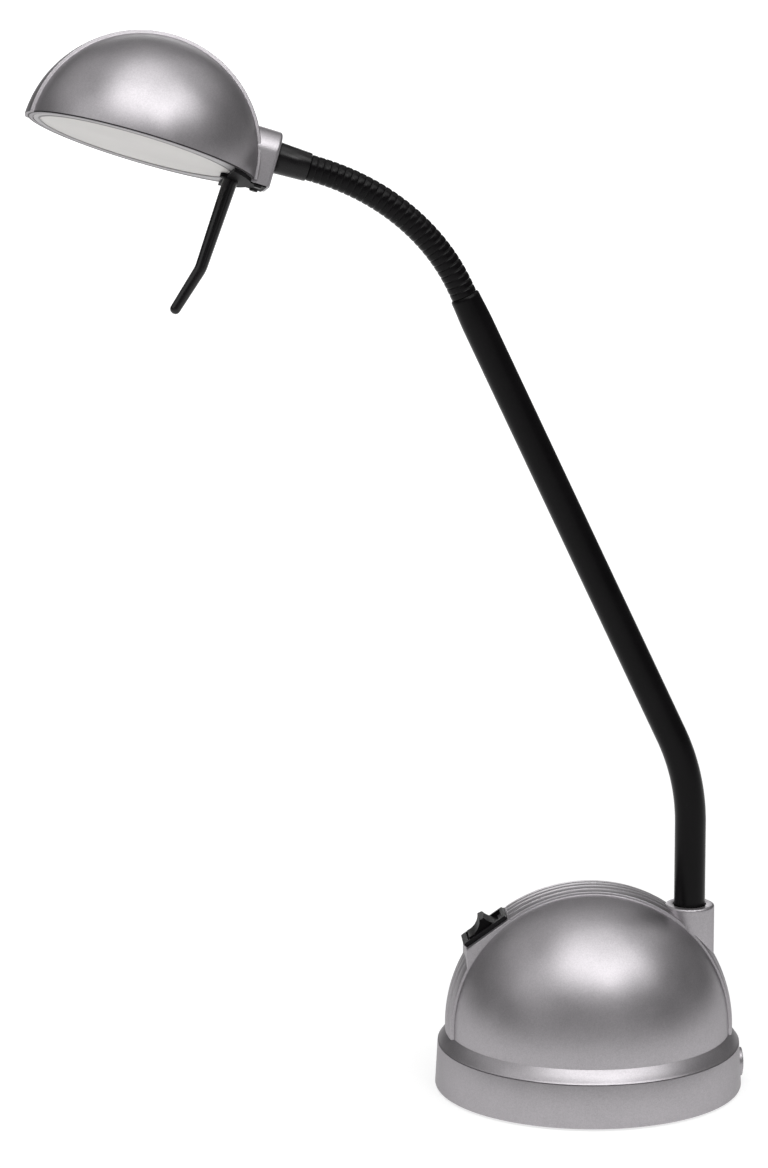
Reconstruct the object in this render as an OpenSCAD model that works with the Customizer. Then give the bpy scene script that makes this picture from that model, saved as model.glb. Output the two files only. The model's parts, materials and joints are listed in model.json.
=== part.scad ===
// Dome shade desk lamp: a weighted dome base with a transformer, a swivelling bent tube,
// a ribbed flexible neck and a dome shade with a frosted lens and an aiming handle.
// Millimetres, +Z up. The origin is the middle of the base on the table.
// The shade points along -X, and the arm stands at the +X side of the base.

/* [Base housing] */
// Outer radius of the base wall at its foot
base_r = 65; // [62:0.5:72]
// How much the base wall leans in from foot to top
base_draft = 1; // [0:0.1:2]
// Height of the top of the base wall above the table
base_wall_h = 19.6; // [17:0.2:24]
// Height of the sloped shoulder above the wall
shoulder_h = 5.4; // [4:0.2:8]
// Width of the sloped shoulder, from the wall to the dome
shoulder_w = 4.3; // [3:0.1:7]
// Height of the widest line of the dome above the shoulder
dome_skirt = 2; // [1:0.5:5]
// Wall thickness of the moulded housings
shell_t = 2.4; // [1.8:0.1:3]
// Gap between the table and the foot of the base wall
wall_gap = 0.8; // [0.3:0.1:1.2]
// Distance of the screw posts inward from the inside of the base wall
post_inset = 12.6; // [10.5:0.1:15]
// Radius of a screw post
post_r = 4; // [3:0.1:5]

/* [Spine of the base] */
// How far the raised spine stands out of the dome
spine_rise = 1.2; // [0.8:0.1:2]
// Width of the spine at the top of the dome
spine_top_w = 18; // [15:0.5:20]
// Width of the spine at the widest line of the dome
spine_foot_w = 27; // [22:0.5:32]
// Width of each groove along the spine
groove_w = 0.9; // [0.5:0.1:1.4]
// Depth of each groove along the spine
groove_d = 0.55; // [0.3:0.05:0.9]

/* [Switch] */
// Slope of the switch platform from level
switch_slope = 35.5; // [30:0.5:42]
// Depth of the platform below the surface of the spine
switch_sink = 0.9; // [0.5:0.1:1.5]
// How far the switch sits down the slope
switch_slide = 11; // [9:0.5:13]
// Length of the switch bezel, up the slope
switch_l = 21; // [19:0.5:23]
// Width of the switch bezel
switch_w = 15; // [13.5:0.1:15.5]
// Thickness of the switch bezel
bezel_t = 1.8; // [1.2:0.1:2.4]
// Depth of the switch body below the platform
switch_depth = 13; // [11:0.5:15]
// Height of the ridge of the rocker above its pivot
rocker_ridge = 7.4; // [6.5:0.1:8.5]
// Tilt of the rocker each way from its middle
rocker_tilt = 11; // [8:0.5:12]
// Radius of the pivot pins of the rocker
rocker_pin_r = 1.1; // [0.8:0.1:1.3]

/* [Collar and arm] */
// Distance of the arm inward from the widest line of the dome
arm_inset = 17.2; // [15.5:0.1:19]
// How far the collar stands above the dome at its inner side
collar_rise = 1.4; // [0.6:0.1:5]
// Outer radius of the collar
collar_r = 10.5; // [9.5:0.1:11]
// Rounding of the top edge of the collar
collar_edge = 1; // [0.5:0.1:1.5]
// Height of the lower end of the collar above the widest line of the dome
collar_low = 25; // [24:0.5:28]
// Wall thickness of the plastic bush in the collar
bush_t = 0.35; // [0.25:0.05:0.8]
// Outer radius of the arm tube
tube_r = 6.55; // [6:0.05:7]
// Wall thickness of the arm tube
tube_t = 1; // [0.8:0.05:1.2]
// Height at which the two straight runs of the tube would meet
tube_vertex_h = 134.3; // [125:0.5:145]
// Lean of the upper run of the tube from upright
tube_lean = 25; // [15:0.1:30]
// Radius of the bend in the tube
tube_bend_r = 92; // [60:1:110]
// Length of the upper run, from the vertex to the mouth of the tube
tube_upper_l = 227.9; // [200:0.5:260]
// Length of the tapered mouth of the tube
mouth_l = 14; // [8:0.5:20]
// How much the mouth of the tube is drawn in
mouth_taper = 0.4; // [0.2:0.05:0.5]
// Length of the tube below the collar inside the base
tube_tail = 6; // [5:0.5:8]

/* [Flexible neck] */
// Distance from one rib of the neck to the next
rib_pitch = 2.89; // [2.7:0.01:3.1]
// Number of ribs on each link of the neck
ribs_per_link = 3; // [2:1:4]
// Number of moving links in the neck
neck_links = 8; // [8:1:8]
// Radius of the neck over its ribs
neck_r = 5.5; // [5.2:0.05:5.5]
// Radius of the rounding of a rib
rib_round = 0.85; // [0.7:0.05:0.9]
// Radius of the neck between its ribs
neck_core_r = 4.35; // [4.2:0.05:4.5]
// Radius of the ball at the end of each link
ball_r = 3.7; // [3.4:0.05:3.8]
// Radius of the wire way through the neck
wire_r = 1.6; // [1.2:0.1:2]
// Total bend of the neck at rest
neck_bend_angle = 47.4; // [30:0.1:60]
// How much more the neck bends low down than on average
neck_bias_ratio = 0.14; // [0:0.05:0.5]
// Length of the neck shank inside the tube
shank_l = 14; // [10:0.5:20]
// Length of the ferrule between the neck and the shade
ferrule_l = 14; // [12:0.5:18]
// Radius of the ferrule at the neck
ferrule_neck_r = 6; // [5.8:0.05:6.4]
// Radius of the ferrule at the shade
ferrule_head_r = 6.65; // [6.4:0.05:7.2]
// Radius of the journal that the shade turns on
journal_r = 5; // [4.5:0.05:5.5]

/* [Shade] */
// Turn of the shade about the neck at rest
head_roll_angle = 15.3; // [0:0.1:30]
// Outer radius of the shade
head_r = 48.1; // [46:0.1:52]
// How far the boss face stands behind the shade
boss_stand = 5.9; // [4.9:0.1:7]
// Depth of the middle of the shade below the neck axis
head_drop = 14; // [13:0.5:15]
// Depth of the rim of the shade below the neck axis
rim_drop = 12.6; // [11.6:0.1:12.6]
// Wall thickness of the shade
head_t = 2; // [1.6:0.1:2.4]
// How far the raised spine stands out of the shade
head_spine_rise = 1.4; // [0.8:0.1:2]
// Width of the spine at the top of the shade
head_spine_top_w = 15; // [12:0.5:18]
// Width of the spine at the rim of the shade
head_spine_rim_w = 23; // [18:0.5:26]
// Half width of the boss that takes the ferrule
boss_r = 10.4; // [9.8:0.1:11]
// Rounding of the edge of the boss face
boss_edge = 1.5; // [0.8:0.1:2]
// Depth of the bearing pad inside the shade, from the boss face
pad_depth = 12; // [11:0.5:13]

/* [Lens and lamp] */
// Width of the lens ring between the shade and its window, on average
lip_w = 4.56; // [4.3:0.02:6]
// How far the window sits forward of the middle of the shade
window_shift = 2.2; // [1.8:0.1:2.4]
// Width of the ledge that carries the lens
ledge_w = 1.2; // [0.8:0.1:1.3]
// Thickness of the lens ring
ring_t = 2.7; // [2.4:0.1:3.2]
// Thickness of the ledge that carries the lens
ledge_t = 1; // [0.8:0.1:1.4]
// Thickness of the lens
lens_t = 3; // [2:0.1:3.2]
// Gap between the shade and the reflector bowl in it
reflector_gap = 3.1; // [2:0.1:5]
// Thickness of the reflector sheet
reflector_t = 0.6; // [0.4:0.1:0.8]
// Radius of the bulb capsule
bulb_r = 4.2; // [3.5:0.1:4.4]
// Length of the bulb capsule
bulb_l = 20; // [16:0.5:24]
// Width and length of the lamp holder
holder_size = [14, 12, 8];

/* [Rear plate and handle] */
// Thickness of the rear plate under the shade
plate_t = 1.6; // [1.2:0.1:2]
// How far the rear plate reaches forward of the boss face
plate_reach = 17.4; // [15.5:0.1:18]
// Distance of the handle from the boss face
handle_x = 15.3; // [13:0.1:15.5]
// Forward lean of the upper run of the handle
handle_lean = 2.5; // [0:0.1:6]
// Length of the upper run of the handle
handle_upper_l = 38.5; // [30:0.5:45]
// Length of the lower run of the handle
handle_lower_l = 19.6; // [15:0.2:28]
// Forward bend of the lower run of the handle
handle_bend_angle = 13.4; // [0:0.2:30]
// Radius of the handle at the plate
handle_root_r = 3.1; // [2.6:0.05:3.5]
// Radius of the handle at its bend
handle_bend_r = 2.7; // [2.3:0.05:3]
// Radius of the handle at its tip
handle_tip_r = 2.1; // [1.7:0.05:2.5]

/* [Inside the base] */
// Thickness of the steel bottom plate
bottom_t = 1.6; // [1:0.1:2.5]
// Thickness of the rubber foot ring
foot_t = 1.4; // [1.2:0.1:2]
// Width of the rubber foot ring
foot_w = 6; // [4:0.5:7]
// Width of the transformer core
core_w = 48; // [44:0.5:50]
// Height of the transformer core
core_h = 40; // [36:0.5:42]
// Depth of the stack of core laminations
core_d = 22; // [18:0.5:24]
// Width of each outer leg of the core
core_leg = 8; // [7:0.5:8.5]
// How far the windings stand out of the core
coil_bulge = 7; // [5:0.5:8]
// Radius of the hole that a cord would pass through
cord_hole_r = 3.2; // [2.5:0.1:3.6]
// Height of the cord inlet above the table
inlet_h = 8.6; // [8:0.1:10]

/* [Fits] */
// Clearance of a part that turns in a bore
run_gap = 0.06; // [0.03:0.01:0.09]
// Clearance between parts that only rest in each other
seat_gap = 0.1; // [0.05:0.01:0.15]
// Clearance between faces that move past each other
pass_gap = 0.3; // [0.2:0.05:0.4]

/* [Hidden] */
$fn = 72;
silver = [0.66, 0.65, 0.66];
black = [0.09, 0.085, 0.09];
steel = [0.72, 0.73, 0.75];
brass = [0.78, 0.62, 0.32];
copper = [0.72, 0.42, 0.24];
over = 1;                                        // how far a cut runs past a face

// ---- base: derived sizes ----
base_top_r = base_r - base_draft;
dome_r = base_top_r - shoulder_w;
dome_foot = base_wall_h + shoulder_h;
dome_lift = dome_foot + dome_skirt;
spine_r = dome_r + spine_rise;
ring_in = base_top_r - shell_t;
post_circle = ring_in - post_inset;
bottom_top = foot_t + bottom_t;
tongue_h = 3;
tongue_t = 1.4;
screw_r = 1.45;
screw_head_r = 3.2;
screw_head_h = 1.1;
ledge_h = 2;
ledge_in = 4;

// ---- switch: derived sizes ----
platform_r = spine_r - switch_sink;
switch_margin = 2.5;
switch_rear = 1;
body_l = switch_l - 2;
body_w = switch_w - 2;
body_wall = 0.9;
well_l = body_l - 2 * body_wall;
well_w = body_w - 2 * body_wall;
rocker_gap = 0.15;
rocker_l = well_l - 2 * rocker_gap - 0.6;
rocker_w = well_w - 2 * rocker_gap;
rocker_drop = 1.4;                               // pivot below the platform
rocker_end_h = 2.6;                              // pad of the rocker above its pivot
well_depth = 7;

// ---- arm and neck: derived sizes ----
arm_x = dome_r - arm_inset;
collar_foot = dome_lift + collar_low;
collar_top = dome_lift + sqrt(dome_r * dome_r - pow(arm_x - collar_r, 2)) + collar_rise;
bush_out = tube_r + run_gap + bush_t;
bush_flange_r = sqrt(pow(dome_r - shell_t, 2) - collar_low * collar_low) - arm_x - pass_gap;
bush_flange_t = 1.2;
clip_t = 2;
clip_gap = 0.15;
collar_hole = bush_out + 0.02;
bend_run = tube_bend_r * tan(tube_lean / 2);
bend_draw = 0.02;                                // the tube is drawn this much thinner in its bend
bend_lap = 0.6;                                  // how far the bend runs into each straight run, in degrees
tube_foot = collar_foot - tube_tail;
tube_in = tube_r - tube_t;
link_l = rib_pitch * ribs_per_link;
joint_gap = 0.6;                                 // link end face to joint centre
neck_joints = neck_links + 1;
socket_r = ball_r + 0.08;
shank_r = tube_in - seat_gap;

function turned(lean) = [-sin(lean), 0, cos(lean)];
function bias(i) = neck_bias_ratio * (neck_joints + 1 - 2 * i) / (neck_joints - 1);
function kink(i) = neck_bend_angle / neck_joints * (1 + bias(i));
function lean_at(i) = i == 0 ? tube_lean : lean_at(i - 1) + kink(i);
tube_vertex = [arm_x, 0, tube_vertex_h];
tube_mouth = tube_vertex + tube_upper_l * turned(tube_lean);
function joint_at(i) = i == 0 ? tube_mouth : joint_at(i - 1) + link_l * turned(lean_at(i - 1));
end_lean = lean_at(neck_joints);
neck_tip = joint_at(neck_joints) + link_l * turned(end_lean);
boss_face = neck_tip + ferrule_l * turned(end_lean);

// ---- shade: derived sizes ----
head_tilt = 90 - end_lean;
head_reach = head_r + boss_stand;                // boss face forward to the middle of the shade
head_spine_r = head_r + head_spine_rise;
shade_in = head_r - head_t;
rim_in = sqrt(shade_in * shade_in - pow(head_drop - rim_drop + ring_t, 2)) - seat_gap;
window_r = rim_in - lip_w;
lens_seat_r = window_r + ledge_w;
window_x = head_reach + window_shift;
reflector_r = shade_in - reflector_gap;
ring_top = -rim_drop + ring_t;
lens_bottom = -rim_drop + ledge_t;
washer_t = 0.8;
nut_t = 3;
bracket_t = 1.2;
tab_w = 16;
shelf_w = 12;
shelf_t = 0.9;
journal_l = pad_depth + bracket_t + 0.2;
thread_end = 0.6;                                // how far the thread stands out of the nut
thread_l = journal_l + washer_t + nut_t + thread_end;
holder_x = thread_l + pass_gap;
shelf_top = lens_bottom + lens_t + pass_gap + shelf_t;
washer_r = -shelf_top - 2 * seat_gap;
bulb_z = shelf_top + holder_size[2] / 2;
plate_top = -rim_drop - 0.1;
handle_pin_r = 2;

// ---- shared shapes ----

// A flat rectangle with rounded corners, centred.
module rounded_plate(l, w, r) {
    square([l - 2 * r, w], center = true);
    square([l, w - 2 * r], center = true);
    for (sx = [-1, 1], sy = [-1, 1])
        translate([sx * (l / 2 - r), sy * (w / 2 - r)]) circle(r);
}

// A block with rounded upright edges, standing on z = 0.
module rounded_block(l, w, h, r) {
    linear_extrude(h) rounded_plate(l, w, r);
}

// A prism along X whose width runs from foot_w at z = 0 to top_w at z = r.
module spine_prism(r, top_w, foot_w) {
    flare = (foot_w - top_w) / 2 / r;
    low = -r / 2;
    high = r * 1.2;
    rotate([90, 0, 90]) linear_extrude(3 * r, center = true) polygon([
        [-foot_w / 2 + flare * low, low], [foot_w / 2 - flare * low, low],
        [foot_w / 2 - flare * high, high], [-foot_w / 2 + flare * high, high]
    ]);
}

// A pan head screw hanging head down from z = 0, its shank up to h.
module base_screw(h) {
    translate([0, 0, -screw_head_h]) cylinder(h = screw_head_h, r1 = screw_head_r - 0.5, r2 = screw_head_r);
    cylinder(h = h, r = screw_r);
}

// ---- frames ----

module at_dome() { translate([0, 0, dome_lift]) children(); }

// Switch frame: the middle of the bezel on the platform, +X up the slope, +Z out of it.
module at_switch() {
    at_dome() rotate([0, -switch_slope, 0]) translate([-switch_slide, 0, platform_r]) children();
}

// Rocker frame: the pivot, turned to where the rocker rests.
module at_rocker() {
    at_switch() translate([0, 0, -rocker_drop]) rotate([0, rocker_tilt, 0]) children();
}

// Neck frame i: joint i of the neck, +Z along the link above it.
module at_link(i) { translate(joint_at(i)) rotate([0, -lean_at(i), 0]) children(); }

// Ferrule frame: the middle of the boss face, +Z along the neck axis into the shade.
module at_ferrule() { translate(boss_face) rotate([0, -end_lean, 0]) children(); }

// Shade frame: the middle of the boss face, +X forward, +Z up out of the shade.
module at_head() {
    translate(boss_face) rotate([0, head_tilt, 0]) rotate([head_roll_angle, 0, 180]) children();
}

// ---- base housing ----

module shoulder_profile(inset) {
    bulge = 0.5;
    steps = 6;
    polygon(concat(
        [[0, base_wall_h], [base_top_r - inset, base_wall_h]],
        [for (i = [1 : steps - 1]) [
            base_top_r - inset - shoulder_w * i / steps + bulge * sin(180 * i / steps),
            base_wall_h + shoulder_h * i / steps + bulge * sin(180 * i / steps)]],
        [[dome_r - inset, dome_foot], [0, dome_foot]]
    ));
}

module above_seam() {
    translate([0, 0, base_wall_h]) cylinder(h = 2 * spine_r, r = base_r + over);
}

module spine_groove(side) {
    top = spine_top_w / 4;
    foot = spine_foot_w / 4;
    tilt = atan((foot - top) / spine_r);
    at_dome() translate([0, side * foot, 0]) rotate([90 + side * tilt, 0, 0])
        rotate_extrude() translate([spine_r - groove_d, -groove_w / 2]) square([groove_d + 2 * over, groove_w]);
}

module dome_outside() {
    intersection() {
        above_seam();
        union() {
            at_dome() sphere(dome_r);
            at_dome() intersection() {
                difference() {
                    sphere(spine_r);
                    for (side = [-1, 0, 1]) translate([0, 0, -dome_lift]) spine_groove(side);
                }
                spine_prism(spine_r, spine_top_w, spine_foot_w);
            }
            rotate_extrude() shoulder_profile(0);
            switch_platform();
        }
    }
}

// The raised block under the switch, with its upright front wall.
module switch_platform() {
    low_end = -switch_l / 2 - switch_margin - switch_slide;
    high_end = switch_l / 2 + switch_rear - switch_slide;
    front = [low_end * cos(switch_slope) - platform_r * sin(switch_slope),
             low_end * sin(switch_slope) + platform_r * cos(switch_slope)];
    rear = [high_end * cos(switch_slope) - platform_r * sin(switch_slope),
            high_end * sin(switch_slope) + platform_r * cos(switch_slope)];
    at_dome() intersection() {
        spine_prism(spine_r, spine_top_w, spine_foot_w);
        rotate([90, 0, 0]) linear_extrude(2 * spine_foot_w, center = true)
            polygon([front, rear, [rear[0], 0], [front[0], 0]]);
    }
}

module collar() {
    translate([arm_x, 0, 0]) {
        translate([0, 0, collar_foot]) cylinder(h = collar_top - collar_edge - collar_foot, r = collar_r);
        translate([0, 0, collar_foot]) cylinder(h = collar_top - collar_foot, r = collar_r - collar_edge);
        translate([0, 0, collar_top - collar_edge])
            rotate_extrude() translate([collar_r - collar_edge, 0]) circle(collar_edge);
    }
}

module base_posts() {
    intersection() {
        at_dome() sphere(dome_r - shell_t / 2);
        for (a = [45 : 90 : 315]) rotate(a) translate([post_circle, 0, bottom_top + seat_gap])
            cylinder(h = dome_lift + dome_r, r = post_r);
    }
}

module base_dome() {
    color(silver) difference() {
        union() {
            difference() {
                dome_outside();
                at_dome() sphere(dome_r - shell_t);
                rotate_extrude() shoulder_profile(shell_t);
                translate([0, 0, base_wall_h - over]) cylinder(h = over + 0.5, r = ring_in - tongue_t);
            }
            collar();
            base_posts();
            translate([0, 0, base_wall_h - tongue_h]) difference() {
                cylinder(h = tongue_h + 0.5, r = ring_in - seat_gap);
                translate([0, 0, -over]) cylinder(h = tongue_h + 2 * over, r = ring_in - tongue_t);
            }
        }
        // above the platform
        at_switch() translate([-switch_l, -spine_foot_w, 0])
            cube([switch_l * 1.5 + switch_rear, 2 * spine_foot_w, switch_l]);
        // the cut-out for the switch body
        at_switch() translate([-body_l / 2 - seat_gap, -body_w / 2 - seat_gap, -2 * shell_t - 6])
            cube([body_l + 2 * seat_gap, body_w + 2 * seat_gap, 2 * shell_t + 6 + over]);
        // the bore of the collar
        translate([arm_x, 0, collar_foot - over])
            cylinder(h = collar_top - collar_foot + 2 * over, r = collar_hole);
        // pilot holes for the base screws
        for (a = [45 : 90 : 315]) rotate(a) translate([post_circle, 0, 0])
            cylinder(h = bottom_top + 14, r = screw_r + 0.05);
    }
}

module base_ring() {
    color(silver) difference() {
        rotate_extrude() polygon([
            [base_r - 0.6, wall_gap], [base_r, wall_gap + 0.6], [base_top_r, base_wall_h - 0.1],
            [ring_in, base_wall_h - 0.1], [ring_in, bottom_top + seat_gap + ledge_h],
            [ring_in - ledge_in, bottom_top + seat_gap + ledge_h], [ring_in - ledge_in, bottom_top + seat_gap],
            [ring_in, bottom_top + seat_gap], [ring_in, wall_gap]
        ]);
        translate([0, 0, inlet_h]) rotate([0, 90, 0])
            cylinder(h = base_r + over, r = grommet_neck_r + seat_gap);
        grommet_slot();
        // the flat that the outer flange of the grommet sits on
        translate([wall_r_at_inlet, 0, inlet_h]) rotate([0, 90, 0])
            cylinder(h = base_draft + over, r = grommet_flange_r + seat_gap);
    }
}

module bottom_plate() {
    color(steel) difference() {
        translate([0, 0, foot_t]) cylinder(h = bottom_t, r = ring_in - 2 * seat_gap);
        for (a = [45 : 90 : 315]) rotate(a) translate([post_circle, 0, 0])
            cylinder(h = bottom_top + over, r = screw_r + 0.15);
        for (s = [-1, 1]) translate([s * strap_screw_x, 0, 0])
            cylinder(h = bottom_top + over, r = strap_screw_r + 0.1);
        for (s = [-1, 1]) translate([clamp_x, s * clamp_screw_y, 0])
            cylinder(h = bottom_top + over, r = strap_screw_r + 0.1);
    }
}

module foot_ring() {
    color([0.13, 0.13, 0.13]) difference() {
        cylinder(h = foot_t, r = ring_in - 2);
        translate([0, 0, -over]) cylinder(h = foot_t + 2 * over, r = ring_in - 2 - foot_w);
    }
}

module base_screws() {
    color(steel) for (a = [45 : 90 : 315]) rotate(a) translate([post_circle, 0, foot_t])
        base_screw(bottom_t + 12);
}

// ---- transformer ----
core_z = bottom_top;
window_h = core_h - 2 * core_leg;
window_w = core_w / 2 - 2 * core_leg;
strap_t = 1;
strap_w = 16;
strap_foot = 11;
strap_screw_x = core_w / 2 + strap_t + strap_foot / 2 + 1;
strap_screw_r = 1.5;
bobbin_wall = 1.2;
coil_l = core_w - 2 * core_leg - 0.8;
coil_w = core_d + 2 * coil_bulge;

module transformer_core() {
    color([0.42, 0.42, 0.44]) difference() {
        translate([-core_w / 2, -core_d / 2, core_z]) cube([core_w, core_d, core_h]);
        for (s = [-1, 1]) translate([s * (core_leg + window_w / 2) - window_w / 2, -core_d, core_z + core_leg])
            cube([window_w, 2 * core_d, window_h]);
    }
}

// The hole that the middle leg of the core passes through.
module core_hole(h) {
    translate([-core_leg - seat_gap, -core_d / 2 - seat_gap, -over])
        cube([2 * core_leg + 2 * seat_gap, core_d + 2 * seat_gap, h + 2 * over]);
}

module transformer_bobbin() {
    flange_t = 1.2;
    bobbin_h = window_h - 2 * seat_gap;
    color([0.85, 0.83, 0.76]) translate([0, 0, core_z + core_leg + seat_gap]) difference() {
        union() {
            rounded_block(2 * (core_leg + bobbin_wall), core_d + 2 * bobbin_wall, bobbin_h, 1);
            for (z = [0, (bobbin_h - flange_t) / 2, bobbin_h - flange_t])
                translate([0, 0, z]) rounded_block(coil_l, coil_w + 2, flange_t, 1.5);
        }
        core_hole(bobbin_h);
    }
}

module winding(level) {
    flange_t = 1.2;
    half = (window_h - 2 * seat_gap - flange_t) / 2;
    translate([0, 0, core_z + core_leg + seat_gap + flange_t + level * half + seat_gap / 2]) difference() {
        rounded_block(coil_l - 0.6, coil_w, half - flange_t - seat_gap, 4);
        translate([0, 0, -over]) rounded_block(2 * (core_leg + bobbin_wall) + 0.1,
            core_d + 2 * bobbin_wall + 0.1, half + over, 1);
    }
}

module primary_winding() { color(copper) winding(0); }

module secondary_winding() { color([0.62, 0.33, 0.2]) winding(1); }

module transformer_strap() {
    inner = core_w / 2 + 0.05;
    outer = inner + strap_t;
    foot = core_w / 2 + strap_t + strap_foot;
    color(steel) difference() {
        rotate([90, 0, 0]) linear_extrude(strap_w, center = true) polygon([
            [-foot, core_z], [-inner, core_z], [-inner, core_z + core_h + 0.05], [inner, core_z + core_h + 0.05],
            [inner, core_z], [foot, core_z], [foot, core_z + strap_t], [outer, core_z + strap_t],
            [outer, core_z + core_h + strap_t], [-outer, core_z + core_h + strap_t],
            [-outer, core_z + strap_t], [-foot, core_z + strap_t]
        ]);
        for (s = [-1, 1]) translate([s * strap_screw_x, 0, 0])
            cylinder(h = core_z + strap_t + over, r = strap_screw_r + 0.1);
    }
}

// A screw standing head up on z, with its shank down through the bottom plate.
module top_screw(z) {
    translate([0, 0, z]) cylinder(h = 1.6, r1 = 2.8, r2 = 2.2);
    translate([0, 0, foot_t - 0.4]) cylinder(h = z - foot_t + 0.4, r = strap_screw_r);
}

module strap_screws() {
    color(steel) for (s = [-1, 1]) translate([s * strap_screw_x, 0, 0]) top_screw(core_z + strap_t);
}

// ---- wiring parts in the base ----
block_y = -36;
block_l = 26;
block_w = 11;
block_h = 9;
block_ways = 3;
block_pitch = 8;
clamp_w = 6;
clamp_x = ring_in - 11.6;
clamp_screw_y = cord_hole_r + 4.3;
clamp_l = 2 * clamp_screw_y + 5;
clamp_h = 2.6;

module terminal_block() {
    color([0.88, 0.87, 0.82]) translate([0, block_y, bottom_top]) difference() {
        rounded_block(block_l, block_w, block_h, 1);
        for (i = [0 : block_ways - 1]) translate([(i - (block_ways - 1) / 2) * block_pitch, 0, 0]) {
            translate([0, 0, block_h / 2]) rotate([90, 0, 0]) cylinder(h = 2 * block_w, r = 1.6, center = true);
            translate([0, 0, block_h / 2]) cylinder(h = block_h, r = 1.9);
        }
    }
}

module terminal_screws() {
    color(brass) translate([0, block_y, bottom_top + block_h / 2 + 1.5])
        for (i = [0 : block_ways - 1]) translate([(i - (block_ways - 1) / 2) * block_pitch, 0, 0])
            cylinder(h = 2.4, r = 1.8);
}

grommet_neck_r = cord_hole_r + 1.4;
grommet_flange_r = grommet_neck_r + 0.8;
grommet_flange_t = 1.8;
wall_r_at_inlet = base_r - base_draft * inlet_h / base_wall_h - seat_gap;

// The flat that the inner flange of the grommet needs in the ledge of the ring.
module grommet_slot() {
    translate([ring_in - ledge_in - over, -grommet_flange_r - seat_gap, bottom_top])
        cube([ledge_in + over, 2 * (grommet_flange_r + seat_gap), inlet_h]);
}

module cord_grommet() {
    inner = ring_in - grommet_flange_t - 0.5;
    wall_out = wall_r_at_inlet + 0.05;
    color([0.1, 0.1, 0.1]) translate([0, 0, inlet_h]) rotate([0, 90, 0]) rotate_extrude() polygon([
        [cord_hole_r, inner], [grommet_flange_r - 0.3, inner], [grommet_flange_r, inner + 0.3],
        [grommet_flange_r, ring_in - 0.4], [grommet_neck_r, ring_in - 0.4], [grommet_neck_r, wall_out],
        [grommet_flange_r, wall_out], [grommet_flange_r, wall_out + 1], [grommet_flange_r - 0.8, wall_out + 2],
        [cord_hole_r, wall_out + 2]
    ]);
}

module cord_clamp() {
    color(black) translate([clamp_x, 0, bottom_top]) difference() {
        rounded_block(clamp_w, clamp_l, inlet_h - bottom_top + clamp_h, 1.2);
        translate([0, 0, inlet_h - bottom_top]) rotate([0, 90, 0])
            cylinder(h = 2 * clamp_w, r = cord_hole_r, center = true);
        for (s = [-1, 1]) translate([0, s * clamp_screw_y, -over])
            cylinder(h = inlet_h + clamp_h, r = strap_screw_r + 0.1);
    }
}

module clamp_screws() {
    color(steel) for (s = [-1, 1]) translate([clamp_x, s * clamp_screw_y, 0]) top_screw(inlet_h + clamp_h);
}

// ---- switch ----

module switch_housing() {
    draft = 0.8;
    color(black) at_switch() difference() {
        union() {
            rounded_block(switch_l, switch_w, bezel_t - 0.7, 0.8);
            rounded_block(switch_l - draft, switch_w - draft, bezel_t, 0.8);
            translate([-body_l / 2, -body_w / 2, -switch_depth]) cube([body_l, body_w, switch_depth + 0.2]);
        }
        translate([-well_l / 2, -well_w / 2, -well_depth]) cube([well_l, well_w, well_depth + bezel_t + over]);
        translate([0, 0, -rocker_drop]) rotate([90, 0, 0])
            cylinder(h = 2 * body_w, r = rocker_pin_r + run_gap, center = true);
    }
}

module switch_rocker() {
    flank_r = 7.5;
    half = rocker_l / 2;
    ridge_half = 0.8;
    flank_x = ridge_half + flank_r * 0.98;
    flank_z = rocker_end_h + flank_r * 0.97;
    color(black) at_rocker() {
        difference() {
            rotate([90, 0, 0]) linear_extrude(rocker_w, center = true) polygon([
                [-half, rocker_end_h], [-half, 0], [-half + 3, -3],
                [half - 3, -3], [half, 0], [half, rocker_end_h],
                [3, rocker_end_h + 2.6], [ridge_half + 0.5, rocker_ridge], [-ridge_half - 0.5, rocker_ridge],
                [-3, rocker_end_h + 2.6]
            ]);
            for (s = [-1, 1]) translate([s * flank_x, 0, flank_z]) rotate([90, 0, 0])
                cylinder(h = 2 * rocker_w, r = flank_r, center = true);
        }
        rotate([90, 0, 0]) cylinder(h = body_w - 0.4, r = rocker_pin_r, center = true);
    }
}

module switch_terminals() {
    blade_l = 7;
    color(brass) at_switch() for (x = [-6, 0, 6])
        translate([x - 0.4, -2.4, -switch_depth - blade_l]) cube([0.8, 4.8, blade_l]);
}

// ---- arm ----

module arm_bush() {
    color(black) translate([arm_x, 0, 0]) difference() {
        union() {
            translate([0, 0, collar_foot]) cylinder(h = collar_top - collar_foot - 0.5, r = bush_out);
            translate([0, 0, collar_foot - bush_flange_t]) cylinder(h = bush_flange_t, r = bush_flange_r);
        }
        translate([0, 0, collar_foot - bush_flange_t - over]) cylinder(h = collar_top, r = tube_r + run_gap);
    }
}

// A solid run of the arm at radius r, drawn in by taper at the mouth.
module tube_run(r, taper, past) {
    upper = tube_upper_l - bend_run;
    translate([arm_x, 0, tube_foot - past]) cylinder(h = tube_vertex_h - bend_run - tube_foot + past, r = r);
    translate([arm_x - tube_bend_r, 0, tube_vertex_h - bend_run]) {
        rotate([90, 0, 0]) rotate(-bend_lap) rotate_extrude(angle = tube_lean + 2 * bend_lap)
            translate([tube_bend_r, 0]) circle(r - bend_draw);
        rotate([0, -tube_lean, 0]) translate([tube_bend_r, 0, 0]) {
            cylinder(h = upper - mouth_l, r = r);
            translate([0, 0, upper - mouth_l]) cylinder(h = mouth_l - 0.5, r1 = r, r2 = r - taper);
            translate([0, 0, upper - 0.5])
                cylinder(h = 0.5 + past, r1 = r - taper, r2 = r - taper - (past > 0 ? 0 : 0.4));
        }
    }
}

module arm_tube() {
    color(black) difference() {
        tube_run(tube_r, mouth_taper, 0);
        tube_run(tube_in, 0, over);
    }
}

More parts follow.
